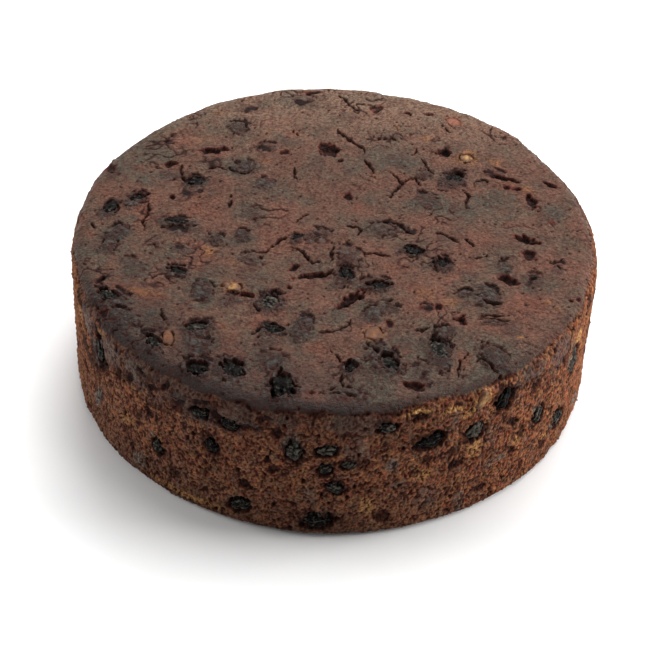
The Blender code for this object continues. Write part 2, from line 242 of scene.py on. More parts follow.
# Fruits and hollows that show as dark smudges in the front of the side, the hollows painted dark as shade:
# azimuth, height, length, width,
# heading, strength. Those up to HOLLOW_LENGTH long are hollows.
HOLLOW_LENGTH = 5.0
SIDE_BURIED = [
    (-58.0, 41.0, 7.0, 17.0, 20, 0.85),
    (-54.5, 43.0, 4.0, 9.0, 30, 0.7),
    (-60.5, 35.0, 9.0, 6.0, 40, 0.8),
    (-64.0, 55.0, 6.0, 6.0, 30, 0.7),
    (-58.0, 53.5, 5.0, 4.0, 30, 0.6),
    (-37.0, 42.0, 9.0, 3.6, 0, 0.7),
    (-43.0, 31.0, 6.0, 2.4, 20, 0.7),
    (-47.0, 18.0, 5.0, 3.0, 0, 0.5),
    (-39.5, 36.5, 3.0, 3.0, 0, 0.7),
    (-33.0, 13.0, 6.0, 6.0, 30, 0.8),
    (-16.0, 21.0, 5.0, 3.4, 0, 0.9),
    (-10.5, 31.0, 3.0, 3.4, 0, 0.8),
    (-26.5, 48.0, 10.0, 5.0, 0, 0.8),
    (-31.5, 52.0, 7.0, 6.0, 40, 0.8),
    (-24.0, 53.5, 8.0, 3.0, 20, 0.8),
    (-38.0, 54.0, 8.0, 4.0, 30, 0.7),
    (-13.5, 51.0, 6.0, 3.0, 0, 0.7),
    (-46.0, 46.0, 7.0, 3.0, 60, 0.7),
    (-31.0, 49.5, 5.0, 2.4, 35, 1.0),
    (-22.4, 50.6, 5.0, 2.6, 160, 1.0),
    (-26.5, 54.0, 5.0, 2.0, 20, 0.9),
    (-34.5, 54.5, 4.8, 2.0, 60, 0.9),
    (-37.8, 50.0, 4.6, 2.2, 30, 0.9),
    (-41.0, 54.0, 4.4, 2.0, 150, 0.8),
    (-16.0, 49.6, 4.6, 2.0, 10, 0.8),
    (-44.5, 48.0, 4.0, 2.0, 60, 0.8),
    (-49.0, 44.0, 5.0, 2.2, 70, 0.9),
    (-55.0, 39.0, 5.0, 2.4, 60, 1.0),
    (-12.4, 55.0, 4.6, 1.8, 10, 0.8),
    (4.5, 51.0, 4.0, 2.0, 0, 0.7),
    (-21.0, 48.5, 6.0, 4.0, 0, 1.0),
    (-32.0, 47.5, 5.0, 5.0, 0, 0.6),
    (-5.5, 37.5, 8.0, 3.0, 0, 0.9),
    (-17.0, 9.0, 12.0, 8.0, 0, 0.4),
    (-10.0, 50.0, 3.0, 3.0, 0, 0.7),
    (-24.5, 37.0, 8.0, 9.0, 50, 0.6),
    (0.5, 36.0, 6.0, 6.0, 0, 0.45),
    (0.5, 45.0, 6.0, 6.0, 0, 0.45),
    (2.0, 8.5, 14.0, 9.0, 0, 0.4),
    (4.5, 37.0, 5.0, 4.0, 0, 0.6),
    (7.5, 36.5, 4.0, 6.0, 60, 0.5),
    (2.5, 26.5, 5.0, 5.0, 60, 0.9),
    (12.0, 55.0, 7.0, 4.0, 0, 0.8),
    (19.0, 55.6, 5.0, 2.4, 10, 0.9),
    (21.5, 34.0, 4.0, 3.4, 0, 0.7),
    (22.0, 44.0, 14.0, 6.0, 0, 0.8),
    (27.5, 35.0, 6.0, 3.6, 0, 0.8),
    (28.0, 27.5, 5.0, 2.6, 0, 0.9),
    (32.5, 40.0, 9.0, 6.0, 0, 0.7),
    (39.4, 52.0, 11.0, 10.5, 0, 1.0),
    (42.3, 36.5, 3.6, 4.0, 60, 0.9),
    (43.0, 21.5, 3.0, 3.0, 0, 0.8),
    (45.5, 28.0, 3.0, 5.0, 0, 0.6),
    (51.0, 28.5, 6.0, 4.0, 20, 0.9),
    (52.5, 41.0, 8.0, 3.6, 20, 0.7),
    (35.0, 9.5, 4.0, 2.6, 0, 0.8),
    (54.0, 11.5, 4.0, 4.0, 0, 0.6),
    (60.5, 15.5, 8.0, 6.0, 150, 1.0),
    (23.0, 12.0, 6.0, 3.0, 0, 0.5),
    (12.5, 8.5, 5.0, 5.0, 0, 0.6),
    (60.0, 47.0, 4.0, 5.0, 0, 0.5),
    (48.0, 47.0, 4.0, 5.0, 0, 0.5),
]

# Fruits that show as pale grey patches of dust and painted sheen in the front of the side, in the same form
SIDE_DUST_AND_SHEEN = [
    (-57.5, 21.0, 13.0, 5.0, 60, 1.0),
    (-50.5, 52.5, 8.0, 6.0, 30, 0.8),
    (-37.5, 23.0, 4.0, 10.0, 20, 0.8),
    (-42.5, 9.5, 8.0, 8.0, 60, 0.7),
    (-18.5, 53.5, 7.0, 9.0, 0, 0.9),
    (-43.0, 51.0, 5.0, 9.0, 0, 0.4),
    (-6.5, 45.5, 6.5, 12.0, 0, 1.0),
    (-17.5, 11.0, 9.0, 6.0, 0, 0.5),
    (0.0, 11.0, 9.0, 6.0, 0, 0.5),
    (2.0, 56.0, 8.0, 6.0, 0, 0.35),
    (7.5, 55.0, 7.0, 7.0, 0, 0.35),
    (6.5, 44.0, 9.0, 14.0, 0, 0.4),
    (14.0, 34.5, 5.0, 6.5, 0, 0.9),
    (16.0, 24.0, 6.0, 6.0, 0, 0.5),
    (22.0, 15.0, 8.0, 14.0, 0, 0.4),
    (30.0, 6.0, 5.0, 12.0, 0, 0.5),
    (38.0, 21.0, 9.0, 3.6, 0, 0.6),
    (36.0, 35.0, 6.0, 10.0, 0, 0.35),
    (32.5, 43.5, 7.0, 4.0, 0, 0.9),
    (49.0, 35.0, 4.0, 5.0, 0, 0.8),
    (57.5, 18.0, 6.0, 7.0, 120, 0.8),
    (64.0, 40.0, 16.0, 7.0, 115, 1.0),
    (62.0, 49.0, 9.0, 4.0, 0, 0.5),
    (27.0, 50.0, 4.0, 9.0, 0, 0.4),
    (-30.0, 40.0, 5.0, 9.0, 0, 0.3),
    (-2.5, 21.0, 4.0, 9.0, 0, 0.35),
]

# Golden streaks under the border of the crust, in the same form
SIDE_GOLD = [
    (19.0, 57.2, 9.0, 2.6, 0, 1.0),
    (26.5, 55.2, 7.0, 2.4, 0, 0.9),
    (33.5, 55.5, 8.0, 6.0, 20, 0.5),
    (30.0, 51.5, 6.0, 4.0, 30, 0.6),
    (-55.0, 56.0, 8.0, 3.0, 10, 0.7),
    (-68.0, 47.0, 16.0, 5.0, 120, 0.5),
    (20.5, 27.0, 6.0, 6.0, 0, 0.4),
    (32.5, 32.0, 5.0, 10.0, 0, 0.5),
    (9.0, 15.0, 5.0, 9.0, 0, 0.4),
    (45.0, 26.0, 6.0, 5.0, 0, 0.4),
    (55.0, 15.0, 8.0, 5.0, 0, 0.4),
    (-30.0, 4.5, 30.0, 3.0, 0, 0.5),
    (-47.0, 24.0, 9.0, 6.0, 30, 0.3),
]

# Flaps of crust that reach down the side, in the same form
SIDE_CRUST = [
    (-18.5, 53.0, 13.0, 13.0, 0, 1.0),
    (-30.0, 53.5, 16.0, 12.0, 0, 0.9),
    (-43.0, 52.0, 13.0, 12.0, 0, 0.9),
    (-34.5, 57.0, 14.0, 6.0, 0, 0.9),
    (-52.0, 52.0, 13.0, 13.0, 20, 0.9),
    (-26.0, 48.0, 13.0, 9.0, 0, 0.7),
    (-37.0, 47.0, 9.0, 8.0, 30, 0.6),
    (-62.0, 53.0, 14.0, 12.0, 20, 0.8),
    (-57.0, 44.0, 8.0, 12.0, 20, 0.6),
    (-9.0, 56.0, 12.0, 6.0, 0, 0.7),
    (7.0, 55.0, 18.0, 8.0, 0, 0.8),
    (47.0, 55.0, 16.0, 7.0, 0, 0.5),
    (57.0, 53.0, 13.0, 11.0, 20, 0.7),
]

# Wide grey patches of the crust over fruits that lie deep: x, y, length, width, heading, strength
GREYED = [
    (-78.0, 48.0, 44.0, 20.0, 60, 0.9),
    (-76.0, 31.0, 18.0, 10.0, 20, 0.6),
    (-39.0, 38.0, 15.0, 13.0, 60, 0.9),
    (-40.0, 64.0, 14.0, 12.0, 100, 0.7),
    (-20.0, 86.0, 30.0, 12.0, 170, 0.6),
    (-18.0, 22.0, 14.0, 12.0, 0, 0.7),
    (-32.0, 26.0, 16.0, 8.0, 10, 0.7),
    (-32.0, 8.0, 10.0, 14.0, 0, 0.6),
    (-84.0, -12.0, 14.0, 26.0, 160, 1.0),
    (-74.0, -27.0, 16.0, 12.0, 0, 0.7),
    (-57.0, -16.0, 10.0, 9.0, 0, 0.7),
    (-48.0, -38.0, 11.0, 16.0, 0, 1.0),
    (-73.0, -50.0, 26.0, 13.0, 150, 1.0),
    (-45.0, -67.0, 14.0, 9.0, 0, 1.0),
    (-24.0, -75.0, 15.0, 14.0, 0, 0.9),
    (-10.0, -57.0, 12.0, 20.0, 0, 0.9),
    (-35.0, -6.0, 10.0, 9.0, 0, 0.9),
    (-45.0, -8.0, 8.0, 7.0, 0, 0.9),
    (22.0, 49.0, 22.0, 16.0, 0, 1.0),
    (24.0, 71.0, 10.0, 14.0, 0, 0.6),
    (36.0, 20.0, 20.0, 14.0, 0, 0.8),
    (62.0, 20.0, 26.0, 18.0, 0, 0.7),
    (85.0, 18.0, 12.0, 16.0, 0, 0.8),
    (34.0, 38.0, 9.0, 8.0, 0, 0.9),
    (10.0, 90.0, 14.0, 9.0, 0, 0.7),
    (19.0, 3.0, 14.0, 12.0, 0, 1.0),
    (5.0, -15.0, 16.0, 12.0, 0, 0.7),
    (17.0, -45.0, 14.0, 9.0, 30, 0.9),
    (54.0, -35.0, 20.0, 18.0, 100, 0.8),
    (63.0, -17.0, 8.0, 10.0, 0, 1.0),
    (41.0, -56.0, 10.0, 8.0, 0, 1.0),
    (19.0, -72.0, 16.0, 22.0, 0, 0.9),
    (36.0, -71.0, 18.0, 20.0, 0, 0.9),
    (58.0, -68.0, 24.0, 16.0, 130, 1.0),
    (12.0, -88.0, 30.0, 12.0, 0, 0.9),
    (45.0, -83.0, 36.0, 14.0, 25, 0.9),
    (0.0, -50.0, 8.0, 10.0, 0, 0.6),
    (80.0, -22.0, 14.0, 10.0, 0, 0.6),
]

# Golden and orange stains where peel shows through: x, y, length, width, heading, strength
GOLD = [
    (51.0, 50.0, 9.4, 8.4, 20, 1.0),
    (62.0, 49.0, 7.0, 5.6, 0, 0.7),
    (35.0, 63.2, 4.6, 3.6, 20, 0.7),
    (14.6, 36.0, 4.0, 5.0, 0, 0.4),
    (-46.6, -15.4, 5.0, 5.6, 60, 0.9),
    (-36.4, -35.4, 7.4, 5.6, 165, 0.9),
    (-39.0, -57.0, 4.0, 4.0, 0, 0.4),
    (-57.4, -64.4, 9.0, 4.8, 98, 0.9),
    (15.6, -57.6, 9.0, 7.0, 80, 1.0),
    (34.6, -34.0, 6.0, 5.0, 0, 0.4),
    (44.0, -38.0, 6.0, 5.0, 0, 0.5),
    (79.0, -36.0, 3.0, 2.4, 0, 1.0),
    (83.0, -38.6, 4.0, 3.0, 0, 0.5),
    (-28.6, 63.0, 5.0, 4.0, 0, 0.45),
    (-49.0, 74.6, 6.0, 4.0, 20, 0.35),
    (-28.6, 43.0, 4.0, 4.0, 0, 0.4),
    (74.6, 32.0, 5.0, 3.6, 150, 0.7),
    (22.6, 69.6, 4.0, 6.0, 0, 0.4),
    (-36.0, -21.6, 7.0, 4.0, 0, 0.35),
    (-54.0, 57.0, 6.0, 5.0, 0, 0.3),
    (68.6, -55.4, 2.4, 1.8, 0, 1.0),
    (3.0, -6.4, 5.0, 3.0, 0, 0.4),
    (-70.0, -40.0, 16.0, 3.4, 168, 0.75),
    (33.0, -34.0, 7.0, 5.0, 0, 0.4),
]
ORANGE = [
    (46.4, 76.0, 8.0, 6.6, 130, 1.0),
    (-70.0, -40.6, 17.0, 3.0, 165, 1.0),
    (-77.6, -36.6, 5.0, 3.0, 150, 0.8),
    (26.0, -20.0, 13.0, 5.0, 0, 0.5),
    (70.0, -40.0, 16.0, 14.0, 60, 0.35),
    (-74.0, 6.0, 20.0, 5.0, 90, 0.4),
    (-27.0, -56.0, 7.0, 4.0, 0, 0.5),
    (-36.0, -64.0, 7.0, 5.0, 60, 0.5),
    (-4.6, -66.6, 9.0, 6.0, 0, 0.4),
    (48.0, -68.0, 7.0, 5.0, 100, 0.5),
    (66.0, 33.0, 9.0, 5.0, 170, 0.5),
    (73.0, 29.0, 5.0, 8.0, 30, 0.5),
    (8.0, 15.0, 9.0, 4.0, 60, 0.5),
    (-62.0, 57.0, 16.0, 12.0, 60, 0.3),
    (4.0, 23.0, 6.0, 5.0, 0, 0.5),
    (-18.0, 64.0, 6.0, 8.0, 0, 0.4),
    (-97.0, 4.0, 6.0, 4.0, 90, 0.6),
    (-33.0, -72.0, 12.0, 3.0, 160, 0.6),
    (-50.0, 14.0, 20.0, 16.0, 0, 0.25),
    (-47.6, -22.0, 14.0, 10.0, 20, 0.25),
]

# How much of each raisin of the top the crust's skin covers, from its front edge on, as a share of its half
# size, and above which share the crust lies open behind it in a crescent painted black as shadow
COVERED = [0.08, 0.25, 0.50, 0.60, 0.50, 0.65, 0.45, 0.45, 0.45, 0.40,
           0.50, 0.60, 0.30, 0.30, 0.60, 0.75, 0.40, 0.40, 0.40]
COVERED_ELSEWHERE = 0.12
OPEN_BEHIND = 0.3

# How far back the crescent of painted shadow behind a covered fruit lies from its outline, and how deep
# mouths are cut
BACKWARD = np.array([0.3, 2.3, 0.0])
MOUTH_DEPTH = 2.3

# How grey with dust and painted sheen the raisins are: those named here, and the rest of the top and of the
# side
DUST_AND_SHEEN = {
    "raisin_03": 0.6, "raisin_04": 0.8, "raisin_06": 0.8, "raisin_16": 0.75, "raisin_17": 0.6,
    "raisin_21": 0.6, "raisin_23": 0.35, "raisin_24": 0.15, "raisin_25": 0.4, "raisin_28": 0.95,
    "raisin_29": 0.8, "raisin_30": 0.75, "raisin_31": 0.85, "raisin_33": 0.7, "raisin_34": 0.85,
    "raisin_35": 1.1, "raisin_36": 0.8, "raisin_38": 0.8, "raisin_40": 0.8, "raisin_41": 0.9,
}
DUST_AND_SHEEN_TOP = 0.38
DUST_AND_SHEEN_SIDE = 0.55

# How pale each piece of peel and the cherry is, from crust brown to full gold
PALE = {"peel_01": 0.04, "peel_02": 0.05, "peel_03": 1.0, "peel_04": 0.75, "peel_05": 0.7}

# How many marks the back of the side and the crust get at seeded random places, how strong a mark is that
# shows as a fruit of its own, and how many crumbs are strewn
BACK_BURIED_COUNT = 95
BACK_DUST_AND_SHEEN_COUNT = 34
BACK_GOLD_COUNT = 12
FAINT_BURIED_COUNT = 140
FAINTEST_STRONG = 0.45
CRUMB_COUNT = 1100


# ---------------------------------------------------------------- random fields

def mixed_bits(cells, seed):
    """32 random bits for each cell, from its three indices and the seed, multiplied, shifted and mixed."""
    parts = cells.astype(np.int64).astype(np.uint32)
    bits = parts[..., 0] * np.uint32(73856093)
    bits = bits ^ (parts[..., 1] * np.uint32(19349663))
    bits = bits ^ (parts[..., 2] * np.uint32(83492791))
    bits = bits + np.uint32(seed * 7919 + 1)
    for shift, factor in ((16, 0x7FEB352D), (15, 0x846CA68B)):
        bits = (bits ^ (bits >> np.uint32(shift))) * np.uint32(factor)
    return bits ^ (bits >> np.uint32(16))


def swell(points, size, seed):
    """Smooth random waves from about -1 to 1, one hump per size.

    Each corner of the cell round a point has a random slope. The eight planes that the slopes make are
    mixed by a curve that is level at the corners.
    """
    spots = points / size + seed * 3.17
    cells = np.floor(spots)
    inside = spots - cells
    ease = inside ** 3 * (inside * (inside * 6 - 15) + 10)
    total = np.zeros(len(points))
    for corner in np.ndindex(2, 2, 2):
        bits = mixed_bits(cells + corner, seed)
        slopes = np.stack([(bits >> np.uint32(shift)) & np.uint32(255) for shift in (0, 8, 16)], axis=-1)
        slopes = slopes / 127.5 - 1.0
        weight = np.where(corner, ease, 1 - ease).prod(axis=1)
        total += weight * ((inside - corner) * slopes).sum(axis=1)
    return total * 1.5


def grains(points, size, seed):
    """Distance to the nearest of scattered seeds, and a random number from 0 to 1 that is that seed's own.

    Space is cut into cells as wide as size, with one seed at a random place in each. The 27 cells round a
    point are searched. Distances are in cell widths.
    """
    spots = points / size
    home = np.floor(spots)
    nearest = np.full(len(points), 9.0)
    number = np.zeros(len(points))
    for step in np.ndindex(3, 3, 3):
        cells = home + np.array(step) - 1
        bits = mixed_bits(cells, seed)
        places = np.stack([(bits >> np.uint32(shift)) & np.uint32(1023) for shift in (0, 10, 20)], axis=-1)
        gap = np.sqrt(((cells + places / 1023.0 - spots) ** 2).sum(axis=1))
        closer = gap < nearest
        number = np.where(closer, (bits % np.uint32(997)) / 997.0, number)
        nearest = np.where(closer, gap, nearest)
    return nearest, number


def step_up(low, high, value):
    """0 below low, 1 above high, and an even S curve between them."""
    share = np.clip((value - low) / (high - low), 0.0, 1.0)
    return share * share * (3 - 2 * share)


# ---------------------------------------------------------------- the cake's form

def outline(azimuth):
    """How far the outline stands out of the true circle: three slow waves and some bell-shaped humps."""
    out = (0.35 * np.cos(2 * azimuth + 0.7) + 0.30 * np.cos(3 * azimuth + 2.2)
           + 0.22 * np.cos(7 * azimuth + 0.4))
    for middle, height, spread in SWELLINGS:
        apart = (np.degrees(azimuth) - middle + 180.0) % 360.0 - 180.0
        out = out + height * np.exp(-(apart / spread) ** 2)
    return out


def top_relief(x, y):
    """Slow hills and hollows of the top: crossed waves."""
    return (0.32 * np.cos(x / 9.5 + 0.8) * np.cos(y / 8.0 + 0.3)
            + 0.22 * np.cos((x + y) / 6.5 + 2.0))


def skin(length, azimuth):
    """Places and outward directions of the bare form.

    The profile runs level to the rim, turns down through a quarter circle, drops straight, and turns in
    through a small quarter circle at the foot. It is turned round the upright axis. The outline's waves are
    added to its radius, and the crown and the hills of the top to its height.
    """
    turn = np.clip((length - FLAT) / RIM_ROUND, 0, math.pi / 2)
    drop = np.clip(length - SIDE_START, 0, SIDE)
    foot = np.clip((length - SIDE_START - SIDE) / FOOT_ROUND, 0, math.pi / 2)
    radius = np.minimum(length, FLAT) + RIM_ROUND * np.sin(turn) - FOOT_ROUND * (1 - np.cos(foot))
    height = RIM - RIM_ROUND * (1 - np.cos(turn)) - drop - FOOT_ROUND * np.sin(foot)
    radius = radius + outline(azimuth) * step_up(0.86 * FLAT, FLAT, length)
    x = radius * np.sin(azimuth)
    y = -radius * np.cos(azimuth)
    height = height + np.cos(turn) * (CROWN * (1 - (radius / RADIUS) ** 2) + top_relief(x, y))
    tilt = turn + foot
    outward = [np.sin(tilt) * np.sin(azimuth), -np.sin(tilt) * np.cos(azimuth), np.cos(tilt)]
    return np.stack([x, y, height], axis=-1), np.stack(outward, axis=-1)


def length_over_top(radius):
    """Arc length to a radius of the top, out over the round of the rim."""
    past = np.clip((radius - FLAT) / RIM_ROUND, 0, 0.98)
    return np.where(radius < FLAT, radius, FLAT + RIM_ROUND * np.arcsin(past))


def length_down_side(height):
    """Arc length to a height of the side, from the round of the rim down."""
    in_round = FLAT + RIM_ROUND * np.arccos(np.clip(1 - (RIM - height) / RIM_ROUND, 0, 1))
    return np.where(height > RIM - RIM_ROUND, in_round, SIDE_START + RIM - RIM_ROUND - height)


def outward_at(point):
    """Outward direction at a point near the skin: away from the core that the rim is rounded about."""
    x, y, z = point
    radius = math.hypot(x, y)
    past = radius - FLAT
    above = z - (RIM - RIM_ROUND)
    if past > 0 and above > 0:
        tilt = math.atan2(past, above)
    else:
        tilt = 0.0 if above > past else math.pi / 2
    return np.array([x / radius * math.sin(tilt), y / radius * math.sin(tilt), math.cos(tilt)])


# ---------------------------------------------------------------- marks on the skin

def top_marks(rows):
    """Marks on the top: place, direction along, direction across, half length, half width and strength."""
    marks = []
    for x, y, length, width, heading, strength in rows:
        azimuth = math.atan2(x, -y)
        place, outward = skin(length_over_top(np.array(math.hypot(x, y))), np.array(azimuth))
        along = turned(outward, np.array([1.0, 0.0, 0.0]), heading)
        marks.append((place, along, np.cross(outward, along), length / 2, width / 2, strength))
    return marks


def side_marks(rows, grow=1.0):
    """Marks on the side, given by azimuth in degrees and height, in the same form, grow times as large."""
    marks = []
    for degrees, height, length, width, heading, strength in rows:
        azimuth = math.radians(degrees)
        place, outward = skin(length_down_side(np.array(height)), np.array(azimuth))
        along = turned(outward, np.array([math.cos(azimuth), math.sin(azimuth), 0.0]), heading)
        across = np.cross(outward, along)
        marks.append((place, along, across, grow * length / 2, grow * width / 2, strength))
    return marks


def turned(outward, level, heading):
    """Direction in the skin that lies heading degrees from the level direction."""
    first = level - outward * (level @ outward)
    first = first / np.linalg.norm(first)
    second = np.cross(outward, first)
    angle = math.radians(heading)
    return first * math.cos(angle) + second * math.sin(angle)


def mark_field(points, marks, ragged, soft):
    """Strength of the strongest mark at each point.

    A mark is an ellipse in the skin. It is full inside, and falls to nothing over the share soft of its
    size. Its edge is moved in and out by the random field ragged.
    """
    field = np.zeros(len(points))
    for place, along, across, half_length, half_width, strength in marks:
        reach = 2.0 * max(half_length, half_width)
        near = np.nonzero((np.abs(points - place) < reach).all(axis=1))[0]
        if len(near) == 0:
            continue
        offset = points[near] - place
        apart = np.hypot(offset @ along / half_length, offset @ across / half_width) + ragged[near]
        field[near] = np.maximum(field[near], strength * (1 - step_up(1 - soft, 1 + soft, apart)))
    return field


def crack_field(points, ragged):
    """How deep each point lies in a crack: 1 on its middle line, 0 past its width.

    The distance from a point to each straight piece of a crack is taken in units of the crack's half width,
    which thins out towards both ends and swells and shrinks with the random field ragged.
    """
    field = np.zeros(len(points))
    for width, corners in CRACKS:
        flat = np.array(corners, float)
        length = length_over_top(np.hypot(flat[:, 0], flat[:, 1]))
        places, _outward = skin(length, np.arctan2(flat[:, 0], -flat[:, 1]))
        runs = np.linalg.norm(np.diff(places, axis=0), axis=1)
        passed = np.concatenate([[0.0], np.cumsum(runs)]) / runs.sum()
        for begin, end, first, last in zip(places, places[1:], passed, passed[1:]):
            reach = np.linalg.norm(end - begin) / 2 + 3.0
            near = np.nonzero((np.abs(points - (begin + end) / 2) < reach).all(axis=1))[0]
            if len(near) == 0:
                continue
            offset = points[near] - begin
            line = end - begin
            share = np.clip(offset @ line / (line @ line), 0, 1)
            apart = np.linalg.norm(offset - share[:, None] * line, axis=1)
            run = first + (last - first) * share
            taper = step_up(-0.1, 0.3, run) * step_up(-0.1, 0.3, 1 - run)
            thick = 0.2 + width * taper * (0.38 + 0.55 * np.clip(ragged[near] + 0.4, 0, 1.3))
            field[near] = np.maximum(field[near], 1 - apart / thick)
    return np.clip(field, 0, 1)


# ---------------------------------------------------------------- the fruits' places

def fruit_seat(name):
    """A CAD fruit's middle, its directions along, across and outward, and its half sizes on them."""
    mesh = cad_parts[name].data
    points = np.empty(len(mesh.vertices) * 3)
    mesh.vertices.foreach_get("co", points)
    points = np.unique(points.reshape(-1, 3).round(7), axis=0) / MM
    middle = (points.min(axis=0) + points.max(axis=0)) / 2
    outward = outward_at(middle)
    offset = points - middle
    level = offset - np.outer(offset @ outward, outward)
    along = np.linalg.eigh(level.T @ level)[1][:, -1]
    across = np.cross(outward, along)
    axes = np.stack([along, across, outward])
    reach = offset @ axes.T
    middle = middle + (reach.max(axis=0) + reach.min(axis=0)) / 2 @ axes
    halves = (reach.max(axis=0) - reach.min(axis=0)) / 2
    return middle, axes, halves


FRUIT_NAMES = sorted(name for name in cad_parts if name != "cake")
SEATS = {name: fruit_seat(name) for name in FRUIT_NAMES}


def seat_marks(names, grow):
    """The outlines of fruits as marks, grow times as large as the fruits."""
    marks = []
    for name in names:
        middle, (along, across, outward), halves = SEATS[name]
        place = middle + outward * (halves[2] - 0.6)
        marks.append((place, along, across, halves[0] * grow, halves[1] * grow, 1.0))
    return marks


def mouth_marks(names, grow):
    """The openings that the skin leaves over fruits: outlines drawn back from the covered front edge.

    The opening of a fruit is moved backward, a little to one side or the other, by a share of the fruit's
    reach that way, and shrinks, both in step with how much of the fruit is covered.
    """
    marks = []
    for number, mark in enumerate(seat_marks(names, grow)):
        place, along, across, half_length, half_width, strength = mark
        covered = COVERED[number] if number < len(COVERED) else COVERED_ELSEWHERE
        backward = np.array([0.35 * math.sin(2.4 * number), 1.0, 0.0])
        reach = 1 / math.hypot(backward @ along / half_length, backward @ across / half_width)
        shift = backward * reach * covered * 0.7
        shrink = 1 - 0.45 * covered
        marks.append((place + shift, along, across, half_length * shrink, half_width * shrink, strength))
    return marks


def names_of(kind):
    """Names of the CAD nodes of one kind of fruit, in order."""
    return [name for name in FRUIT_NAMES if name.startswith(kind)]


RAISINS = names_of("raisin")
PEELS = names_of("peel")
CHERRIES = names_of("cherry")
COVERED_RAISINS = [name for name, share in zip(RAISINS, COVERED) if share > OPEN_BEHIND]


def faint_buried():
    """Small fruits far under the crust, at seeded random places, as rows like BURIED."""
    rng = np.random.default_rng(23)
    rows = []
    for _ in range(FAINT_BURIED_COUNT):
        radius = 96 * math.sqrt(rng.random())
        azimuth = rng.uniform(0, 2 * math.pi)
        length = rng.uniform(4.0, 10.0)
        width = length * rng.uniform(0.5, 0.85)
        heading = rng.uniform(0, 180)
        strength = rng.uniform(0.15, FAINTEST_STRONG)
        x = radius * math.sin(azimuth)
        y = -radius * math.cos(azimuth)
        rows.append((x, y, length, width, heading, strength))
    return rows


def back_marks(seed, count, weakest):
    """Marks on the back of the side, at seeded random places, as rows like those of SIDE_BURIED."""
    rng = np.random.default_rng(seed)
    rows = []
    for _ in range(count):
        azimuth = rng.uniform(66, 296)
        height = rng.uniform(6, 56)
        length = rng.uniform(3.5, 10)
        width = length * rng.uniform(0.5, 0.9)
        heading = rng.uniform(0, 180)
        rows.append((azimuth, height, length, width, heading, rng.uniform(weakest, 1.0)))
    return rows


TOP_BURIED_MARKS = top_marks(BURIED + faint_buried())
STRONG_MARKS = [mark for mark in TOP_BURIED_MARKS if mark[-1] > FAINTEST_STRONG]
SIDE_ROWS = SIDE_BURIED + back_marks(41, BACK_BURIED_COUNT, 0.6)
SIDE_BURIED_MARKS = side_marks([row for row in SIDE_ROWS if row[2] > HOLLOW_LENGTH])
SIDE_HOLLOW_MARKS = side_marks([row for row in SIDE_ROWS if row[2] <= HOLLOW_LENGTH], 1.3)
SIDE_DUST_AND_SHEEN_MARKS = side_marks(SIDE_DUST_AND_SHEEN + back_marks(42, BACK_DUST_AND_SHEEN_COUNT, 0.4))
SIDE_GOLD_MARKS = side_marks(SIDE_GOLD + back_marks(43, BACK_GOLD_COUNT, 0.3))
SIDE_CRUST_MARKS = side_marks(SIDE_CRUST)
PIT_MARKS = top_marks(PITS)
GREYED_MARKS = top_marks(GREYED)
GOLD_MARKS = top_marks(GOLD)
ORANGE_MARKS = top_marks(ORANGE)


# ---------------------------------------------------------------- relief of the skin

class Ragged:
    """The points of a skin, with the random fields that make its edges ragged.

    Short waves push the torn points about, and long ones a little. The loose points follow the long waves
    more, and the split points less. A mark that is looked up at them gets a torn or a wavering outline.
    """

    def __init__(self, points):
        """Every field worked out at all the points."""
        self.points = points
        self.fine = swell(points, 1.3, 11)
        self.middling = swell(points, 4.5, 12)
        self.jag = swell(points, 2.4, 38)
        tremble = 0.55 * three_swells(points, 1.6, 13)
        drift = three_swells(points, 6.0, 16)
        self.torn = points + tremble + 0.5 * drift
        self.loose = points + tremble + 1.5 * drift
        self.split = points + 1.3 * tremble + 0.4 * drift


def three_swells(points, size, first_seed):
    """Smooth random steps: one field of waves for each axis."""
    return np.stack([swell(points, size, first_seed + axis) for axis in range(3)], axis=-1)


def creases(points, size, seed, low, high=1.0):
    """A net of thin lines: 1 where the random waves pass through nothing, and 0 a little way off."""
    return step_up(low, high, 1 - np.abs(swell(points, size, seed)))


def crust_border(skin_at, length, azimuth):
    """Where the crust ends: its share in the relief, its share in the colour, its flaps, and the seam under
    its edge, a groove painted dark as shadow.

    The border lies in the round of the rim, moved up and down by random waves and a cosine of the azimuth.
    The colour fades out past it, more softly away from the front, and reaches down over the flaps.
    """
    fine, middling = skin_at.fine, skin_at.middling
    facing = np.cos(azimuth - 0.2)
    border = (TOP_END - 0.2 + 2.2 * swell(skin_at.points, 12.0, 19) + 1.1 * middling + 0.6 * fine
              + np.cos(azimuth + 1.1) - 0.8 * step_up(0.6, 1.0, facing))
    past = length - border
    crust = 1 - step_up(-0.6, 0.6, past)
    # The seam: a groove under the crust's edge, painted dark as shadow, most of all at the front.
    shaded_seam = 1 - step_up(0.3, 1.3, np.abs(past - 0.6))
    shaded_seam = shaded_seam * step_up(-0.3, 0.4, swell(skin_at.points, 9.0, 31))
    shaded_seam = shaded_seam * (0.35 + 0.65 * step_up(0.75, 0.95, facing))
    flap = mark_field(skin_at.loose, SIDE_CRUST_MARKS, 0.5 * fine + 0.3 * middling, 0.6)
    flap = flap * step_up(-0.9, 0.1, swell(skin_at.torn, 2.6, 35))
    browned = 1 - step_up(-0.8, 1.2 + 2.4 * step_up(0.0, 1.0, 1 - facing), past + 0.5 * fine)
    browned = np.maximum(browned, 0.92 * step_up(0.15, 0.55, flap))
    return crust, browned, flap, shaded_seam


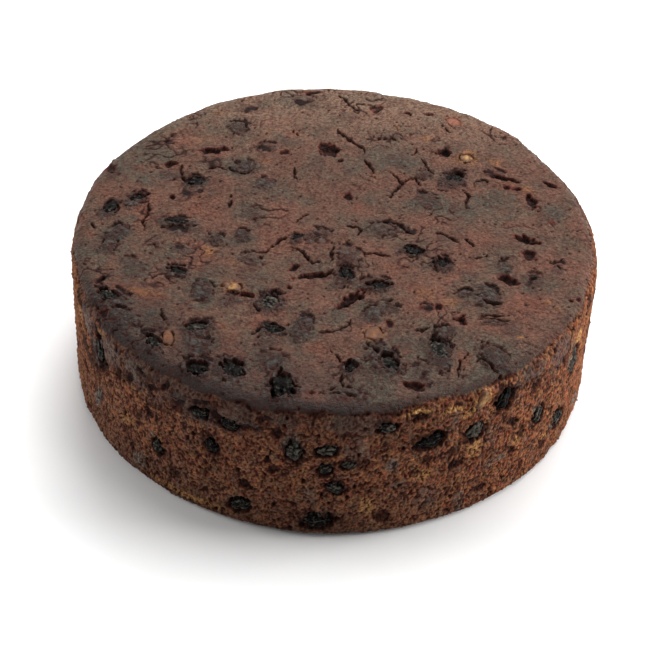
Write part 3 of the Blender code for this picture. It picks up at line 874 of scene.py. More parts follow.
def fruit_mouths(skin_at, crust):
    """The openings of the skin over the raisins, and those over peel and cherry.

    In the crust the edge over a raisin is more ragged, and is drawn back from the fruit's covered front.
    """
    fine, middling, jag = skin_at.fine, skin_at.middling, skin_at.jag
    top_edge = (0.22 * fine + 0.5 * jag + 0.25 * middling) * (1.5 - 0.5 * crust)
    side_edge = 0.5 * jag + 0.2 * middling
    in_crust = mark_field(skin_at.torn, mouth_marks(RAISINS, 0.93), top_edge, 0.16)
    in_side = mark_field(skin_at.torn, seat_marks(RAISINS, 1.02), side_edge, 0.2)
    over_raisins = np.maximum(in_crust * crust, in_side * (1 - crust))
    over_peel = mark_field(skin_at.torn, seat_marks(PEELS + CHERRIES, 0.82), 0.4 * fine + 0.6 * jag, 0.35)
    return over_raisins, over_peel


def crust_detail(skin_at, crust):
    """Relief and dark lines of the crust, most of them painted shade, with the fruits under it and its
    golden stains.

    Fruits under the crust lift it in humps with wrinkles on them, grooved arcs round their outlines, and a
    sunken crescent behind, where the outline moved backward lies outside the outline itself. Wrinkles, arcs
    and crescent are painted dark as shade, the crescent black. Between them run leathery creases, some of
    them open as hair cracks, a finer net, specks and the long cracks; creases, net and cracks are painted
    dark as shade, and the specks are dark of their own.
    """
    points, torn, loose = skin_at.points, skin_at.torn, skin_at.loose
    fine, middling, jag = skin_at.fine, skin_at.middling, skin_at.jag
    film = mark_field(loose, seat_marks(RAISINS, 1.3), 0.35 * fine, 0.3) * crust
    buried = mark_field(loose, TOP_BURIED_MARKS, 0.25 * fine + 0.45 * jag, 0.3)
    buried = np.maximum(buried, film)
    wrinkles = creases(loose, 2.7, 20, 0.86, 0.97) * np.clip(buried * 2.0 - 0.6, 0, 1)
    wrinkles = wrinkles * step_up(-0.6, 0.2, fine)

    wavering = 0.30 * fine + 0.2 * middling
    rim_line = mark_field(torn, STRONG_MARKS + seat_marks(RAISINS, 1.15), wavering, 0.24)
    # Grooved arcs round the fruits and a sunken crescent behind covered ones, both painted dark as shade.
    shaded_arcs = step_up(0.10, 0.35, rim_line) * (1 - step_up(0.55, 0.80, rim_line))
    shaded_arcs = shaded_arcs * step_up(0.15, 0.45, swell(points, 4.2, 34))
    covered_marks = STRONG_MARKS + seat_marks(COVERED_RAISINS, 1.15)
    back_line = mark_field(torn - BACKWARD, covered_marks, wavering, 0.16)
    shaded_crescent = step_up(0.20, 0.7, back_line - rim_line) * step_up(-0.25, 0.15, swell(points, 5.0, 39))

    leather = creases(loose, 4.6, 21, 0.84)
    hair_cracks = leather * step_up(0.2, 0.55, swell(points, 13.0, 22))
    net = creases(torn, 2.1, 32, 0.80)
    speck_near, speck_number = grains(points, 2.2, 27)
    speck = (1 - step_up(0.12, 0.30, speck_near + 0.10 * fine)) * (speck_number > 0.72)
    crack = step_up(0.05, 0.75, crack_field(skin_at.split, middling))
    gold = mark_field(loose, GOLD_MARKS, 0.35 * fine, 0.7)

    height = (0.10 * fine + 0.7 * buried - 0.5 * wrinkles - 0.5 * shaded_arcs - 0.8 * shaded_crescent - 0.12 * leather
              - 0.3 * hair_cracks - 0.08 * net + 0.15 * gold - 1.4 * crack - 0.4 * speck)
    # Painted shade in the wrinkles, arcs, crescent, creases and net; the blots and specks are dark of their
    # own.
    dark = (0.5 * wrinkles + shaded_arcs + shaded_crescent + 0.22 * leather + 0.8 * hair_cracks + 0.25 * net
            + 0.2 * buried ** 2 * blots(torn) + 0.9 * speck)
    return height, crack + crust * dark, buried, gold


def blots(points):
    """Small round blots."""
    return step_up(0.0, 0.55, swell(points, 1.9, 33))


def crumb_detail(skin_at, azimuth, flap):
    """Relief of the open crumb with painted shade in its hollows, its lumps, and the dark fruits in it and
    those grey with dust and painted sheen.

    Lumps of three sizes, painted dark as shade where they fall back, with round air holes, torn hollows and
    upright streaks, which are stronger at the left and are painted dark as shade too. A flap of crust
    smooths the lumps.
    """
    torn, loose = skin_at.torn, skin_at.loose
    fine, jag = skin_at.fine, skin_at.jag
    lumps = skin_at.points * np.array([1.0, 1.0, 0.80])
    mound = 0.18 * swell(lumps, 3.6, 23) + 0.34 * swell(lumps, 1.7, 24) + 0.62 * swell(lumps, 0.92, 25)
    # Painted shade in the gaps where the lumps fall back.
    gap_shade = 1 - step_up(-0.40, 0.05, mound)
    hole_near, hole_number = grains(lumps, 4.4, 26)
    hole = (1 - step_up(0.10, 0.24, hole_near + 0.12 * fine)) * (hole_number > 0.72)
    hollow = mark_field(torn, SIDE_HOLLOW_MARKS, 0.4 * fine + 0.3 * jag, 0.3)
    streak = step_up(0.15, 0.60, swell(torn * np.array([1.0, 1.0, 0.26]), 1.7, 37))
    streak = streak * (0.25 + 0.75 * step_up(-0.2, 0.5, -np.sin(azimuth + 0.25)))
    buried = mark_field(loose, SIDE_BURIED_MARKS + seat_marks(RAISINS, 1.2), 0.55 * fine, 0.3)
    # Pale grey patches of dust and painted sheen on fruits.
    dusty_sheen = mark_field(loose, SIDE_DUST_AND_SHEEN_MARKS, 0.35 * fine + 0.3 * jag, 0.4)

    height = ((0.80 - 0.5 * flap) * mound - 0.10 - 1.1 * hole - 0.35 * streak - 0.7 * hollow
              + 0.3 * np.maximum(buried, dusty_sheen))
    # Painted shade in the holes, hollows, gaps and streaks, and dark blots over dark fruits.
    dark = 0.9 * hole + 0.9 * hollow + 0.8 * gap_shade + 0.55 * streak + 0.5 * buried * blots(torn)
    return height, dark, mound, buried, dusty_sheen


def painted_light_shade_and_ash(skin_at, length, azimuth, crust):
    """Where painted shade darkens the skin, where painted light brightens it, and how ashen it is.

    Painted shade darkens the front of the rim, a band of the crust behind it and the top of the side at the
    front and the back. Painted light brightens the back of the crust and the left and right of the side.
    The side is ashen at the front left, most of all at its foot, and at the back.
    """
    y, z = skin_at.points[:, 1], skin_at.points[:, 2]
    middling = skin_at.middling
    at_back = step_up(-0.30, 0.45, -np.cos(azimuth))
    on_side = 1 - crust
    # Painted shade: the front of the rim, a band of the crust behind it, and the top and back of the side.
    rim_shade = 0.85 * step_up(-1.0, 3.0, length - FLAT) * step_up(0.1, 0.8, np.cos(azimuth + 0.2))
    band_shade = 0.62 * step_up(-30.0, -6.0, length - FLAT) * step_up(0.62, 0.97, np.cos(azimuth + 0.50))
    ends = np.maximum(step_up(0.6, 0.95, np.cos(azimuth + 0.25)), 0.8 * at_back)
    side_shade = 0.34 * step_up(42.0, 55.0, z + 3 * middling) * ends + 0.14 * at_back
    # Painted light: the back of the crust, and the left and right of the side.
    top_light = step_up(40.0, 95.0, y + 4 * middling)
    side_light = (1 - step_up(-0.1, 0.75, np.cos(azimuth - 0.1))) * (1 - 0.95 * at_back)
    ashen = np.maximum(step_up(0.25, 0.9, np.cos(azimuth + 0.55)), at_back)
    return {
        "painted_shade": (rim_shade + band_shade) * crust + side_shade * on_side,
        "painted_light": top_light * crust + side_light * on_side,
        "ash": on_side * ashen * (1 - 0.5 * step_up(8.0, 26.0, z)),
    }


def relief(points, length, azimuth):
    """How far the skin stands out of the bare form, in millimetres, and the fields that colour it.

    Crust and crumb are worked out apart and joined at the border, over slow swells that both follow. Pits
    and the openings over the fruits are cut into them, with a lip round each fruit. At the foot all relief
    fades.
    """
    skin_at = Ragged(points)
    fine, middling = skin_at.fine, skin_at.middling
    crust, browned, flap, shaded_seam = crust_border(skin_at, length, azimuth)
    over_raisins, over_peel = fruit_mouths(skin_at, crust)
    crust_height, crust_dark, buried, gold = crust_detail(skin_at, crust)
    crumb_height, crumb_dark, mound, side_buried, dusty_sheen = crumb_detail(skin_at, azimuth, flap)
    on_side = 1 - crust
    pit = mark_field(skin_at.torn, PIT_MARKS, 0.2 * fine + 0.75 * skin_at.jag, 0.45)
    lip = mark_field(skin_at.loose, seat_marks(FRUIT_NAMES, 1.25), 0.3 * middling, 0.35)

    slow = 0.36 * swell(points, 15.0, 28) + 0.42 * swell(points, 8.0, 36) + 0.20 * middling
    height = crust * (slow + crust_height) + on_side * (0.8 * slow + crumb_height) - 0.6 * shaded_seam
    height = height - 0.75 * pit * step_up(0.0, 1.0, pit)
    height = height + 0.30 * lip * (1 - over_raisins)
    opening = np.maximum(over_raisins, 0.72 * over_peel)
    height = height * (1 - opening) - MOUTH_DEPTH * opening
    height = height * step_up(0.0, 3.5, SKIN_END - length)

    side_gold = mark_field(skin_at.loose, SIDE_GOLD_MARKS, 0.6 * fine, 0.6)
    peel_glow = mark_field(skin_at.loose, seat_marks(PEELS, 1.05), 0.35 * fine, 0.5)
    greyed = mark_field(skin_at.loose, GREYED_MARKS, 0.3 * fine + 0.4 * middling, 0.7)
    tone = 0.42 + 0.42 * swell(points, 13.0, 29) + 0.25 * swell(points, 5.0, 30) + 0.55 * greyed
    # Painted shade in cracks, creases, pits, the seam, the crumb's gaps and the mouths over the raisins,
    # with the crust's own dark specks and blots.
    crevice_shade = crust_dark + on_side * crumb_dark + 0.8 * step_up(0.45, 1.0, pit) + 0.8 * shaded_seam + over_raisins
    fields = {
        "crust": browned,
        "tone": np.clip(tone, 0, 1),
        "buried": np.clip(buried * crust + side_buried * on_side, 0, 1),
        "dusty_sheen": np.clip(dusty_sheen * on_side, 0, 1),
        "crevice_shade": np.clip(crevice_shade, 0, 1),
        "gold": np.maximum(gold, np.maximum(side_gold * on_side, 0.8 * peel_glow)),
        "orange": mark_field(skin_at.loose, ORANGE_MARKS, 0.4 * fine + 0.3 * middling, 0.6),
        "grain": np.clip(0.5 + 0.9 * mound, 0, 1),
        "foot": 1 - step_up(1.5, 5.0, SKIN_END - length),
        "flap": flap * on_side,
        "torn": pit,
    }
    fields.update(painted_light_shade_and_ash(skin_at, length, azimuth, crust))
    return height, fields


# ---------------------------------------------------------------- meshes

# The fields that the skin's finish reads
SKIN_FIELDS = ("crust", "tone", "buried", "dusty_sheen", "flap", "torn", "painted_light", "ash", "crevice_shade", "gold",
               "orange", "grain", "foot", "painted_shade")


def add_mesh(name, points, faces, material, fields=None, directions=None):
    """Object from points in millimetres, with smooth faces and one float attribute for each field."""
    mesh = bpy.data.meshes.new(name)
    points = np.asarray(points) * MM
    faces = np.asarray(faces, np.int32)
    count, corners = faces.shape
    mesh.vertices.add(len(points))
    mesh.vertices.foreach_set("co", points.astype(np.float32).ravel())
    mesh.loops.add(count * corners)
    mesh.loops.foreach_set("vertex_index", faces.ravel())
    mesh.polygons.add(count)
    mesh.polygons.foreach_set("loop_start", np.arange(count, dtype=np.int32) * corners)
    mesh.update(calc_edges=True)
    mesh.polygons.foreach_set("use_smooth", np.ones(count, bool))
    for field_name, values in (fields or {}).items():
        attribute = mesh.attributes.new(field_name, "FLOAT", "POINT")
        attribute.data.foreach_set("value", np.asarray(values, np.float32))
    if directions is not None:
        mesh.normals_split_custom_set_from_vertices(directions.astype(np.float32))
    mesh.materials.append(material)
    mesh.validate()
    made = bpy.data.objects.new(name, mesh)
    bpy.context.scene.collection.objects.link(made)
    return made


def grid_faces(rows, columns):
    """Four-cornered faces of a grid of points stored row by row."""
    first = (np.arange(rows - 1)[:, None] * columns + np.arange(columns - 1)).ravel()
    return np.stack([first, first + 1, first + columns + 1, first + columns], axis=-1)


def grid_directions(points, outward):
    """Direction of a relief at each point of a grid: across its two steps, on the side of outward."""
    down = np.gradient(points, axis=0)
    right = np.gradient(points, axis=1)
    cross = np.cross(down, right)
    cross = cross / np.maximum(np.linalg.norm(cross, axis=-1, keepdims=True), 1e-9)
    side = np.sign((cross * outward).sum(axis=-1, keepdims=True))
    return cross * np.where(side == 0, 1, side)


def set_map(made, places):
    """Map of the piece's skin for its finish: one place per corner of each face."""
    layer = made.data.uv_layers.new(name="OFBake")
    layer.data.foreach_set("uv", places.astype(np.float32).ravel())


def disc_grid(steps):
    """Arc length and azimuth of a square grid pressed into a disc.

    A point of the square keeps its larger coordinate as its radius. Its smaller one, as a share of the
    larger, turns it up to an eighth of a circle either way.
    """
    line = np.arange(-steps, steps + 1) / steps
    down, right = np.meshgrid(line, line, indexing="ij")
    wide = np.abs(right) > np.abs(down)
    bigger = np.where(wide, right, down)
    smaller = np.where(wide, down, right)
    safe = np.where(bigger == 0, 1.0, bigger)
    angle = np.where(wide, smaller / safe, 2 - smaller / safe) * math.pi / 4
    x = bigger * np.cos(angle)
    y = bigger * np.sin(angle)
    return np.hypot(x, y) * TOP_END, np.arctan2(x, -y)


def raised(length, azimuth):
    """Points of the finished skin on a grid, directions of its relief, and the fields that colour it."""
    shape = length.shape
    bare, outward = skin(length.ravel(), azimuth.ravel())
    height, fields = relief(bare, length.ravel(), azimuth.ravel())
    points = bare + outward * height[:, None]
    points[:, 2] = np.maximum(points[:, 2], 0.0)
    points = points.reshape(*shape, 3)
    fields = {name: values.reshape(shape) for name, values in fields.items()}
    return points, grid_directions(points, outward.reshape(*shape, 3)), fields


def skin_part(name, grid, part, material, mirrored=False):
    """One part of a skin's grid as a piece of its own, its faces, and the shape of its grid."""
    points, directions = grid[0][part], grid[1][part]
    shape = points.shape[:2]
    faces = grid_faces(*shape)
    if mirrored:
        faces = faces[:, ::-1]
    fields = {field: values[part].ravel() for field, values in grid[2].items()}
    piece = add_mesh(name, points.reshape(-1, 3), faces, material, fields, directions.reshape(-1, 3))
    return piece, faces, shape


def top_skins(material):
    """Front and back halves of the top, which share the points of the line between them."""
    grid = raised(*disc_grid(TOP_STEPS))
    made = []
    for name, rows in (("crust_front", slice(0, TOP_STEPS + 1)), ("crust_back", slice(TOP_STEPS, None))):
        piece, faces, shape = skin_part(name, grid, rows, material)
        down, right = [np.linspace(0.004, 0.996, count) for count in shape]
        down, right = np.meshgrid(down, right, indexing="ij")
        set_map(piece, np.stack([right.ravel(), down.ravel()], axis=-1)[faces.ravel()])
        made.append(piece)
    return made


def side_skins(material):
    """Front and back halves of the side, from the round of the rim to the foot, and the foot's edge."""
    around = 8 * TOP_STEPS
    turns = np.arange(-around // 4, around * 3 // 4 + 1) * 2 * math.pi / around
    length, azimuth = np.meshgrid(np.linspace(TOP_END, SKIN_END, SIDE_STEPS + 1), turns, indexing="ij")
    grid = raised(length, azimuth)
    half = around // 2
    made = []
    for name, begin in (("side_front", 0), ("side_back", half)):
        part = (slice(None), slice(begin, begin + half + 1))
        piece, faces, shape = skin_part(name, grid, part, material, mirrored=True)
        set_map(piece, banded_map(faces, shape))
        made.append(piece)
    return made, grid[0][-1, :-1]


def banded_map(faces, shape, bands=3):
    """The side cut into bands that lie one above the other, so that its map is as fine both ways."""
    rows, columns = shape
    column = faces % columns
    row = faces // columns
    wide = (columns - 1) / bands
    band = np.minimum(np.floor(column.min(axis=1, keepdims=True) / wide), bands - 1)
    across = (column - band * wide) / wide
    down = row / (rows - 1)
    margin = 0.012
    u = margin + across * (1 - 2 * margin)
    v = (band + margin + down * (1 - 2 * margin)) / bands
    return np.stack([u.ravel(), v.ravel()], axis=-1)


def ring_faces(rings, around, end):
    """Triangles between rings of points stored one after another, and from the last ring to one end."""
    ring = np.arange(around)
    after = (ring + 1) % around
    last = (rings - 1) * around
    faces = []
    for outer in range(0, last, around):
        inner = outer + around
        faces.append(np.stack([outer + ring, inner + ring, outer + after], axis=-1))
        faces.append(np.stack([outer + after, inner + ring, inner + after], axis=-1))
    faces.append(np.stack([last + ring, np.full(around, end), last + after], axis=-1))
    return np.concatenate(faces)


def base_skin(edge, material):
    """Flat underside: rings that shrink from the foot's edge to a point in the middle."""
    shares = np.array([1.0, 0.985, 0.95, 0.88, 0.76, 0.6, 0.42, 0.22, 0.08])
    rings = edge[None] * shares[:, None, None]
    rings[1:, :, 2] = 0.0
    points = np.concatenate([rings.reshape(-1, 3), [[0.0, 0.0, 0.0]]])
    faces = ring_faces(len(shares), len(edge), len(points) - 1)
    levels = dict.fromkeys(SKIN_FIELDS, 0.0)
    levels.update({"crust": 0.35, "tone": 0.5, "foot": 0.6, "grain": grains(points, 1.9, 23)[1]})
    fields = {name: np.full(len(points), level) for name, level in levels.items()}
    piece = add_mesh("cake_base", points, faces, material, fields)
    set_map(piece, points[faces.ravel(), :2] / (2.04 * RADIUS) + 0.5)
    return piece


# ---------------------------------------------------------------- fruits

def power(value, exponent):
    """Value raised to the exponent, with its sign kept."""
    return np.sign(value) * np.abs(value) ** exponent


def fruit_points(name, style, number):
    """Points of one fruit, its faces, how deep in a crease each point lies, for painted shade, and how near
    the edge.

    A flattened ellipsoid with the CAD fruit's size and directions. Its radius is drawn in by folds that run
    from end to end, bent by a random field, and by a finer net of creases.
    """
    middle, axes, halves = SEATS[name]
    rounds, steps = style["rounds"], style["steps"]
    along = (np.arange(1, steps) / steps * math.pi)[:, None]
    around = (np.arange(rounds) / rounds * 2 * math.pi)[None, :]
    square, flat = style["square"], style["square"] * 0.62
    local = np.stack(np.broadcast_arrays(
        power(np.cos(along), square) + 0 * around,
        power(np.sin(along), square) * power(np.cos(around), square),
        power(np.sin(along), flat) * power(np.sin(around), flat)), axis=-1)
    ends = np.array([[1.0, 0, 0], [-1.0, 0, 0]])
    unit = np.concatenate([local.reshape(-1, 3), ends])
    angle = np.concatenate([np.broadcast_to(around, local.shape[:2]).ravel(), [0, 0]])
    run = np.concatenate([np.broadcast_to(along, local.shape[:2]).ravel(), [0, math.pi]])
    solid = unit * halves
    seed = 60 + number
    bend = swell(solid, 4.0, seed)
    folds = np.cos((5 + number % 3) * angle + 1.3 * run + 2.2 * bend) * np.sin(run)
    net = np.abs(swell(solid, 2.0, seed + 1))
    # How deep in a crease a point lies, which the finishes paint dark as shade.
    crease_shade = style["wrinkle"] * (0.6 * step_up(-0.1, 0.9, -folds) + 0.9 * (1 - step_up(0.02, 0.34, net)))
    size = 1 + style["wrinkle"] * (0.09 * folds - 0.15 * (1 - step_up(0.0, 0.30, net)))
    size = size + style["lumpy"] * (swell(solid, 3.4, seed + 2) + 0.5 * swell(solid, 1.6, seed + 3))
    size = size / max(1.0, float(np.max(size)) / 1.12)
    solid = solid * size[:, None]
    solid[:, 2] += style["sink"]
    points = middle + solid @ axes
    first = (steps - 1) * rounds
    ring = np.arange(rounds)
    cap = np.stack([np.full(rounds, first), ring, (ring + 1) % rounds], axis=-1)
    faces = np.concatenate([ring_faces(steps - 1, rounds, first + 1), cap])
    if np.linalg.det(axes) > 0:
        faces = faces[:, ::-1]
    edge = np.hypot(unit[:, 0], unit[:, 1])
    edge = edge + 0.45 * swell(solid, 2.2, seed + 4) + 0.25 * swell(solid, 1.0, seed + 5)
    return points, faces, np.clip(crease_shade, 0, 1), step_up(0.25, 0.95, edge)


RAISIN = {"rounds": 44, "steps": 34, "square": 1.0, "wrinkle": 1.0, "lumpy": 0.24, "sink": 0.1}
PEEL = {"rounds": 40, "steps": 30, "square": 0.8, "wrinkle": 0.3, "lumpy": 0.16, "sink": -0.25}
CHERRY = {"rounds": 40, "steps": 30, "square": 0.85, "wrinkle": 0.2, "lumpy": 0.05, "sink": -0.35}


def fruit_piece(name, names, style, material):
    """All the fruits of one kind as one mesh, which stands for their CAD nodes."""
    parts = []
    count = 0
    for number, node in enumerate(names):
        points, triangles, crease_shade, edge = fruit_points(node, style, number)
        # How grey with dust and painted sheen each fruit is, by name or by lying on the top or the side.
        usual = DUST_AND_SHEEN_TOP if SEATS[node][1][2, 2] > 0.5 else DUST_AND_SHEEN_SIDE
        dust_and_sheen = np.full(len(points), DUST_AND_SHEEN.get(node, usual))
        pale = np.full(len(points), PALE.get(node, 1.0))
        parts.append((points, triangles + count, crease_shade, dust_and_sheen, edge, pale))
        count += len(points)
    points, faces, crease_shade, dust_and_sheen, edge, pale = [np.concatenate(column) for column in zip(*parts)]
    fields = {"crease_shade": crease_shade, "dust_and_sheen": dust_and_sheen, "edge": edge, "pale": pale}
    piece = add_mesh(name, points, faces, material, fields)
    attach(piece, "root")
    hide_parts(*names)
    return piece


def twenty_faces():
    """Corners of a twenty-faced lump of radius 1, and its triangles, all turned outward."""
    golden = (1 + math.sqrt(5)) / 2
    corners = []
    for one in (-1, 1):
        for two in (-golden, golden):
            corners += [(0, one, two), (one, two, 0), (two, 0, one)]
    corners = np.array(corners) / math.hypot(1, golden)
    triangles = []
    for i, j, k in np.ndindex(12, 12, 12):
        first, second, third = corners[[i, j, k]]
        edges = np.array([second - first, third - second, first - third])
        if i > j > k and np.linalg.norm(edges, axis=1).max() < 1.2:
            outward = np.cross(second - first, third - first) @ first > 0
            triangles.append((i, j, k) if outward else (k, j, i))
    return corners, np.array(triangles)


def crumb_piece(material):
    """Loose crumbs that cling to the side: twenty-faced lumps of random size, turn and stretch."""
    corners, triangles = twenty_faces()
    rng = np.random.default_rng(7)
    azimuth = rng.uniform(-math.pi, math.pi, CRUMB_COUNT)
    length = rng.uniform(TOP_END + 1.5, SKIN_END - 4.0, CRUMB_COUNT)
    bare, outward = skin(length, azimuth)
    height, fields = relief(bare, length, azimuth)
    keep = (fields["crust"] < 0.1) & (height > -0.6) & (fields["buried"] < 0.3)
    bare, outward, height = bare[keep], outward[keep], height[keep]
    number = int(keep.sum())
    size = 0.18 + 0.38 * rng.random(number) ** 2.5
    stretch = rng.uniform(0.6, 1.25, (number, 1, 3)) * size[:, None, None]
    jitter = rng.uniform(0.78, 1.22, (number, 12, 1))
    spin = np.linalg.qr(rng.normal(size=(number, 3, 3)))[0]
    lumps = np.einsum("nij,nkj->nki", spin, corners[None] * jitter * stretch)
    centres = bare + outward * (height + 0.15 * size)[:, None]
    points = (lumps + centres[:, None]).reshape(-1, 3)
    flipped = np.linalg.det(spin) < 0
    faces = np.where(flipped[:, None, None], triangles[None, :, ::-1], triangles[None])
    faces = (faces + 12 * np.arange(number)[:, None, None]).reshape(-1, 3)
    shade = np.repeat(rng.random(number), 12)
    piece = add_mesh("crumbs", points, faces, material, {"grain": shade})
    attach(piece, "root")
    return piece


# ---------------------------------------------------------------- finishes

class Finish:
    """A node material built up in words: each call adds nodes and returns the socket they end in."""

    def __init__(self, name):
        """A material with only its shader, and the place of each point on the object."""
        self.material = bpy.data.materials.new(name)
        self.material.use_nodes = True
        self.tree = self.material.node_tree
        self.shader = self.tree.nodes["Principled BSDF"]
        self.place = self.tree.nodes.new("ShaderNodeTexCoord").outputs["Object"]

    def link(self, source, target):
        """Join one socket to another."""
        self.tree.links.new(source, target)

    def field(self, name):
        """A float attribute of the mesh."""
        node = self.tree.nodes.new("ShaderNodeAttribute")
        node.attribute_name = name
        return node.outputs["Fac"]

    def noise(self, size, detail=3.0, rough=0.6, shift=0.0):
        """Fractal noise from 0 to 1, its largest humps size metres apart, moved by shift metres."""
        moved = self.tree.nodes.new("ShaderNodeVectorMath")
        moved.operation = "ADD"
        moved.inputs[1].default_value = (shift, 0.7 * shift, -1.3 * shift)
        self.link(self.place, moved.inputs[0])
        node = self.tree.nodes.new("ShaderNodeTexNoise")
        node.inputs["Scale"].default_value = 1.0 / size
        node.inputs["Detail"].default_value = detail
        node.inputs["Roughness"].default_value = rough
        self.link(moved.outputs["Vector"], node.inputs["Vector"])
        return node.outputs["Fac"]

    def math(self, operation, first, second=0.0):
        """One sum or the like of two numbers or sockets."""
        node = self.tree.nodes.new("ShaderNodeMath")
        node.operation = operation
        for socket, value in zip(node.inputs, (first, second)):
            if isinstance(value, (int, float)):
                socket.default_value = value
            else:
                self.link(value, socket)
        return node.outputs["Value"]

    def spread(self, value, low, high, to_low=0.0, to_high=1.0):
        """Value stretched from the range low to high onto to_low to to_high, and held there."""
        node = self.tree.nodes.new("ShaderNodeMapRange")
        self.link(value, node.inputs["Value"])
        limits = {"From Min": low, "From Max": high, "To Min": to_low, "To Max": to_high}
        for socket, number in limits.items():
            node.inputs[socket].default_value = number
        return node.outputs["Result"]

    def blend(self, share, first, second):
        """Mix of two colours or sockets by a share from 0 to 1."""
        node = self.tree.nodes.new("ShaderNodeMix")
        node.data_type = "RGBA"
        self.link(share, node.inputs["Factor"])
        for key, value in (("A", first), ("B", second)):
            socket = next(s for s in node.inputs if s.name == key and s.type == "RGBA")
            if isinstance(value, tuple):
                socket.default_value = (*value, 1.0)
            else:
                self.link(value, socket)
        return next(s for s in node.outputs if s.type == "RGBA")

    def finished(self, colour, rough, specular, height, depth, strength):
        """The material, with its colour, its roughness, its constant specular level and its fine relief.

        The relief is of the shading only: height from 0 to 1 stands for depth metres.
        """
        bump = self.tree.nodes.new("ShaderNodeBump")
        bump.inputs["Strength"].default_value = strength
        bump.inputs["Distance"].default_value = depth
        self.link(height, bump.inputs["Height"])
        self.link(bump.outputs["Normal"], self.shader.inputs["Normal"])
        self.link(colour, self.shader.inputs["Base Color"])
        self.link(rough, self.shader.inputs["Roughness"])
        self.shader.inputs["Specular IOR Level"].default_value = specular
        return self.material


def srgb(red, green, blue):
    """Linear colour from the 0 to 255 numbers of a paint chart."""
    shares = np.array([red, green, blue]) / 255
    linear = np.where(shares <= 0.04045, shares / 12.92, ((shares + 0.055) / 1.055) ** 2.4)
    return tuple(float(v) for v in linear)


def mottled(made, colour, patches):
    """Colour with patches of paint where noise is high.

    Each patch is its size in metres, its noise's roughness and shift, where it begins and is full, its
    strength, and its paint.
    """
    for size, rough, shift, low, high, strength, paint in patches:
        noise = made.noise(size, 3.0, rough, shift)
        colour = made.blend(made.spread(noise, low, high, 0.0, strength), colour, srgb(*paint))
    return colour


def stained(made, colour, stains):
    """Colour with paint laid on by fields of the mesh: a stain is a field, its strength and its paint."""
    for name, strength, paint in stains:
        colour = made.blend(made.math("MULTIPLY", made.field(name), strength), colour, srgb(*paint))
    return colour


def crust_colour(made, fine, pale, fold_shade):
    """Mauve brown to olive grey crust, grey over buried fruits with painted shade in the folds, dark in its
    pores.
    """
    colour = made.blend(made.spread(made.field("tone"), 0.15, 0.85), srgb(104, 66, 50), srgb(69, 65, 53))
    wide = made.noise(0.007, 4.0, 0.65)
    colour = made.blend(made.spread(wide, 0.46, 0.66, 0.0, 0.45), colour, srgb(92, 49, 38))
    colour = made.blend(made.spread(pale, 0.50, 0.70, 0.0, 0.60), colour, srgb(122, 92, 75))
    # Stains: painted light at the back, orange, gold, and painted shade at the front of the rim.
    colour = stained(made, colour, (
        ("painted_light", 0.5, (136, 111, 91)),
        ("orange", 0.6, (122, 54, 28)),
        ("gold", 0.8, (140, 92, 52)),
        ("painted_shade", 0.9, (42, 34, 30)),
    ))
    # Grey film over buried fruits, black in its folds as painted shade.
    film = made.blend(fold_shade, srgb(10, 8, 6), srgb(66, 67, 64))
    colour = made.blend(made.math("MULTIPLY", made.field("buried"), 0.88), colour, film)
    return made.blend(made.spread(fine, 0.43, 0.66, 0.0, 0.8), colour, srgb(36, 20, 14))


def crumb_colour(made, fine, pale, fold_shade):
    """Rust-brown crumb of many hues, with gold flecks, pale dust and painted sheen over some fruits and
    black over others.
    """
    colour = made.blend(made.field("grain"), srgb(74, 42, 26), srgb(194, 124, 82))
    colour = mottled(made, colour, (
        (0.0110, 0.60, 1.7, 0.44, 0.58, 0.60, (106, 50, 32)),
        (0.0065, 0.60, 2.3, 0.52, 0.64, 0.60, (128, 88, 80)),
        (0.0050, 0.60, 2.9, 0.54, 0.64, 0.60, (96, 84, 56)),
        (0.0017, 0.60, 0.6, 0.50, 0.60, 0.70, (148, 58, 34)),
        (0.0016, 0.60, 0.8, 0.52, 0.62, 0.60, (164, 118, 66)),
        (0.0024, 0.65, 1.2, 0.50, 0.62, 0.65, (78, 70, 58)),
    ))
    # Stains: painted light at the left and right, ashen grey, the foot's colour and gold.
    colour = stained(made, colour, (
        ("painted_light", 0.55, (176, 106, 60)),
        ("ash", 0.6, (106, 80, 66)),
        ("foot", 0.5, (100, 78, 54)),
        ("gold", 0.85, (190, 138, 78)),
    ))
    colour = made.blend(made.spread(made.field("flap"), 0.0, 0.7, 0.0, 0.9), colour, srgb(84, 67, 62))
    # Painted shade at the top of the side and at its back.
    colour = stained(made, colour, (("painted_shade", 0.8, (30, 20, 16)),))
    colour = made.blend(made.spread(fine, 0.42, 0.62, 0.0, 0.78), colour, srgb(31, 12, 7))
    fleck = made.math("MULTIPLY", made.spread(made.field("gold"), 0.2, 0.8), made.spread(pale, 0.46, 0.58))
    colour = made.blend(fleck, colour, srgb(206, 158, 100))
    # Pale grey of dust and painted sheen over some fruits.
    dust_and_sheen = made.blend(made.spread(pale, 0.40, 0.62), srgb(44, 42, 37), srgb(122, 119, 111))
    patchy = made.spread(made.noise(0.0045, 3.0, 0.6, 0.33), 0.3, 0.6, 0.6, 1.0)
    colour = made.blend(made.math("MULTIPLY", made.field("dusty_sheen"), patchy), colour, dust_and_sheen)
    # Black fruits, blacker in their folds as painted shade.
    black = made.blend(fold_shade, srgb(6, 4, 3), srgb(24, 20, 16))
    return made.blend(made.math("MULTIPLY", made.field("buried"), 0.92), colour, black)


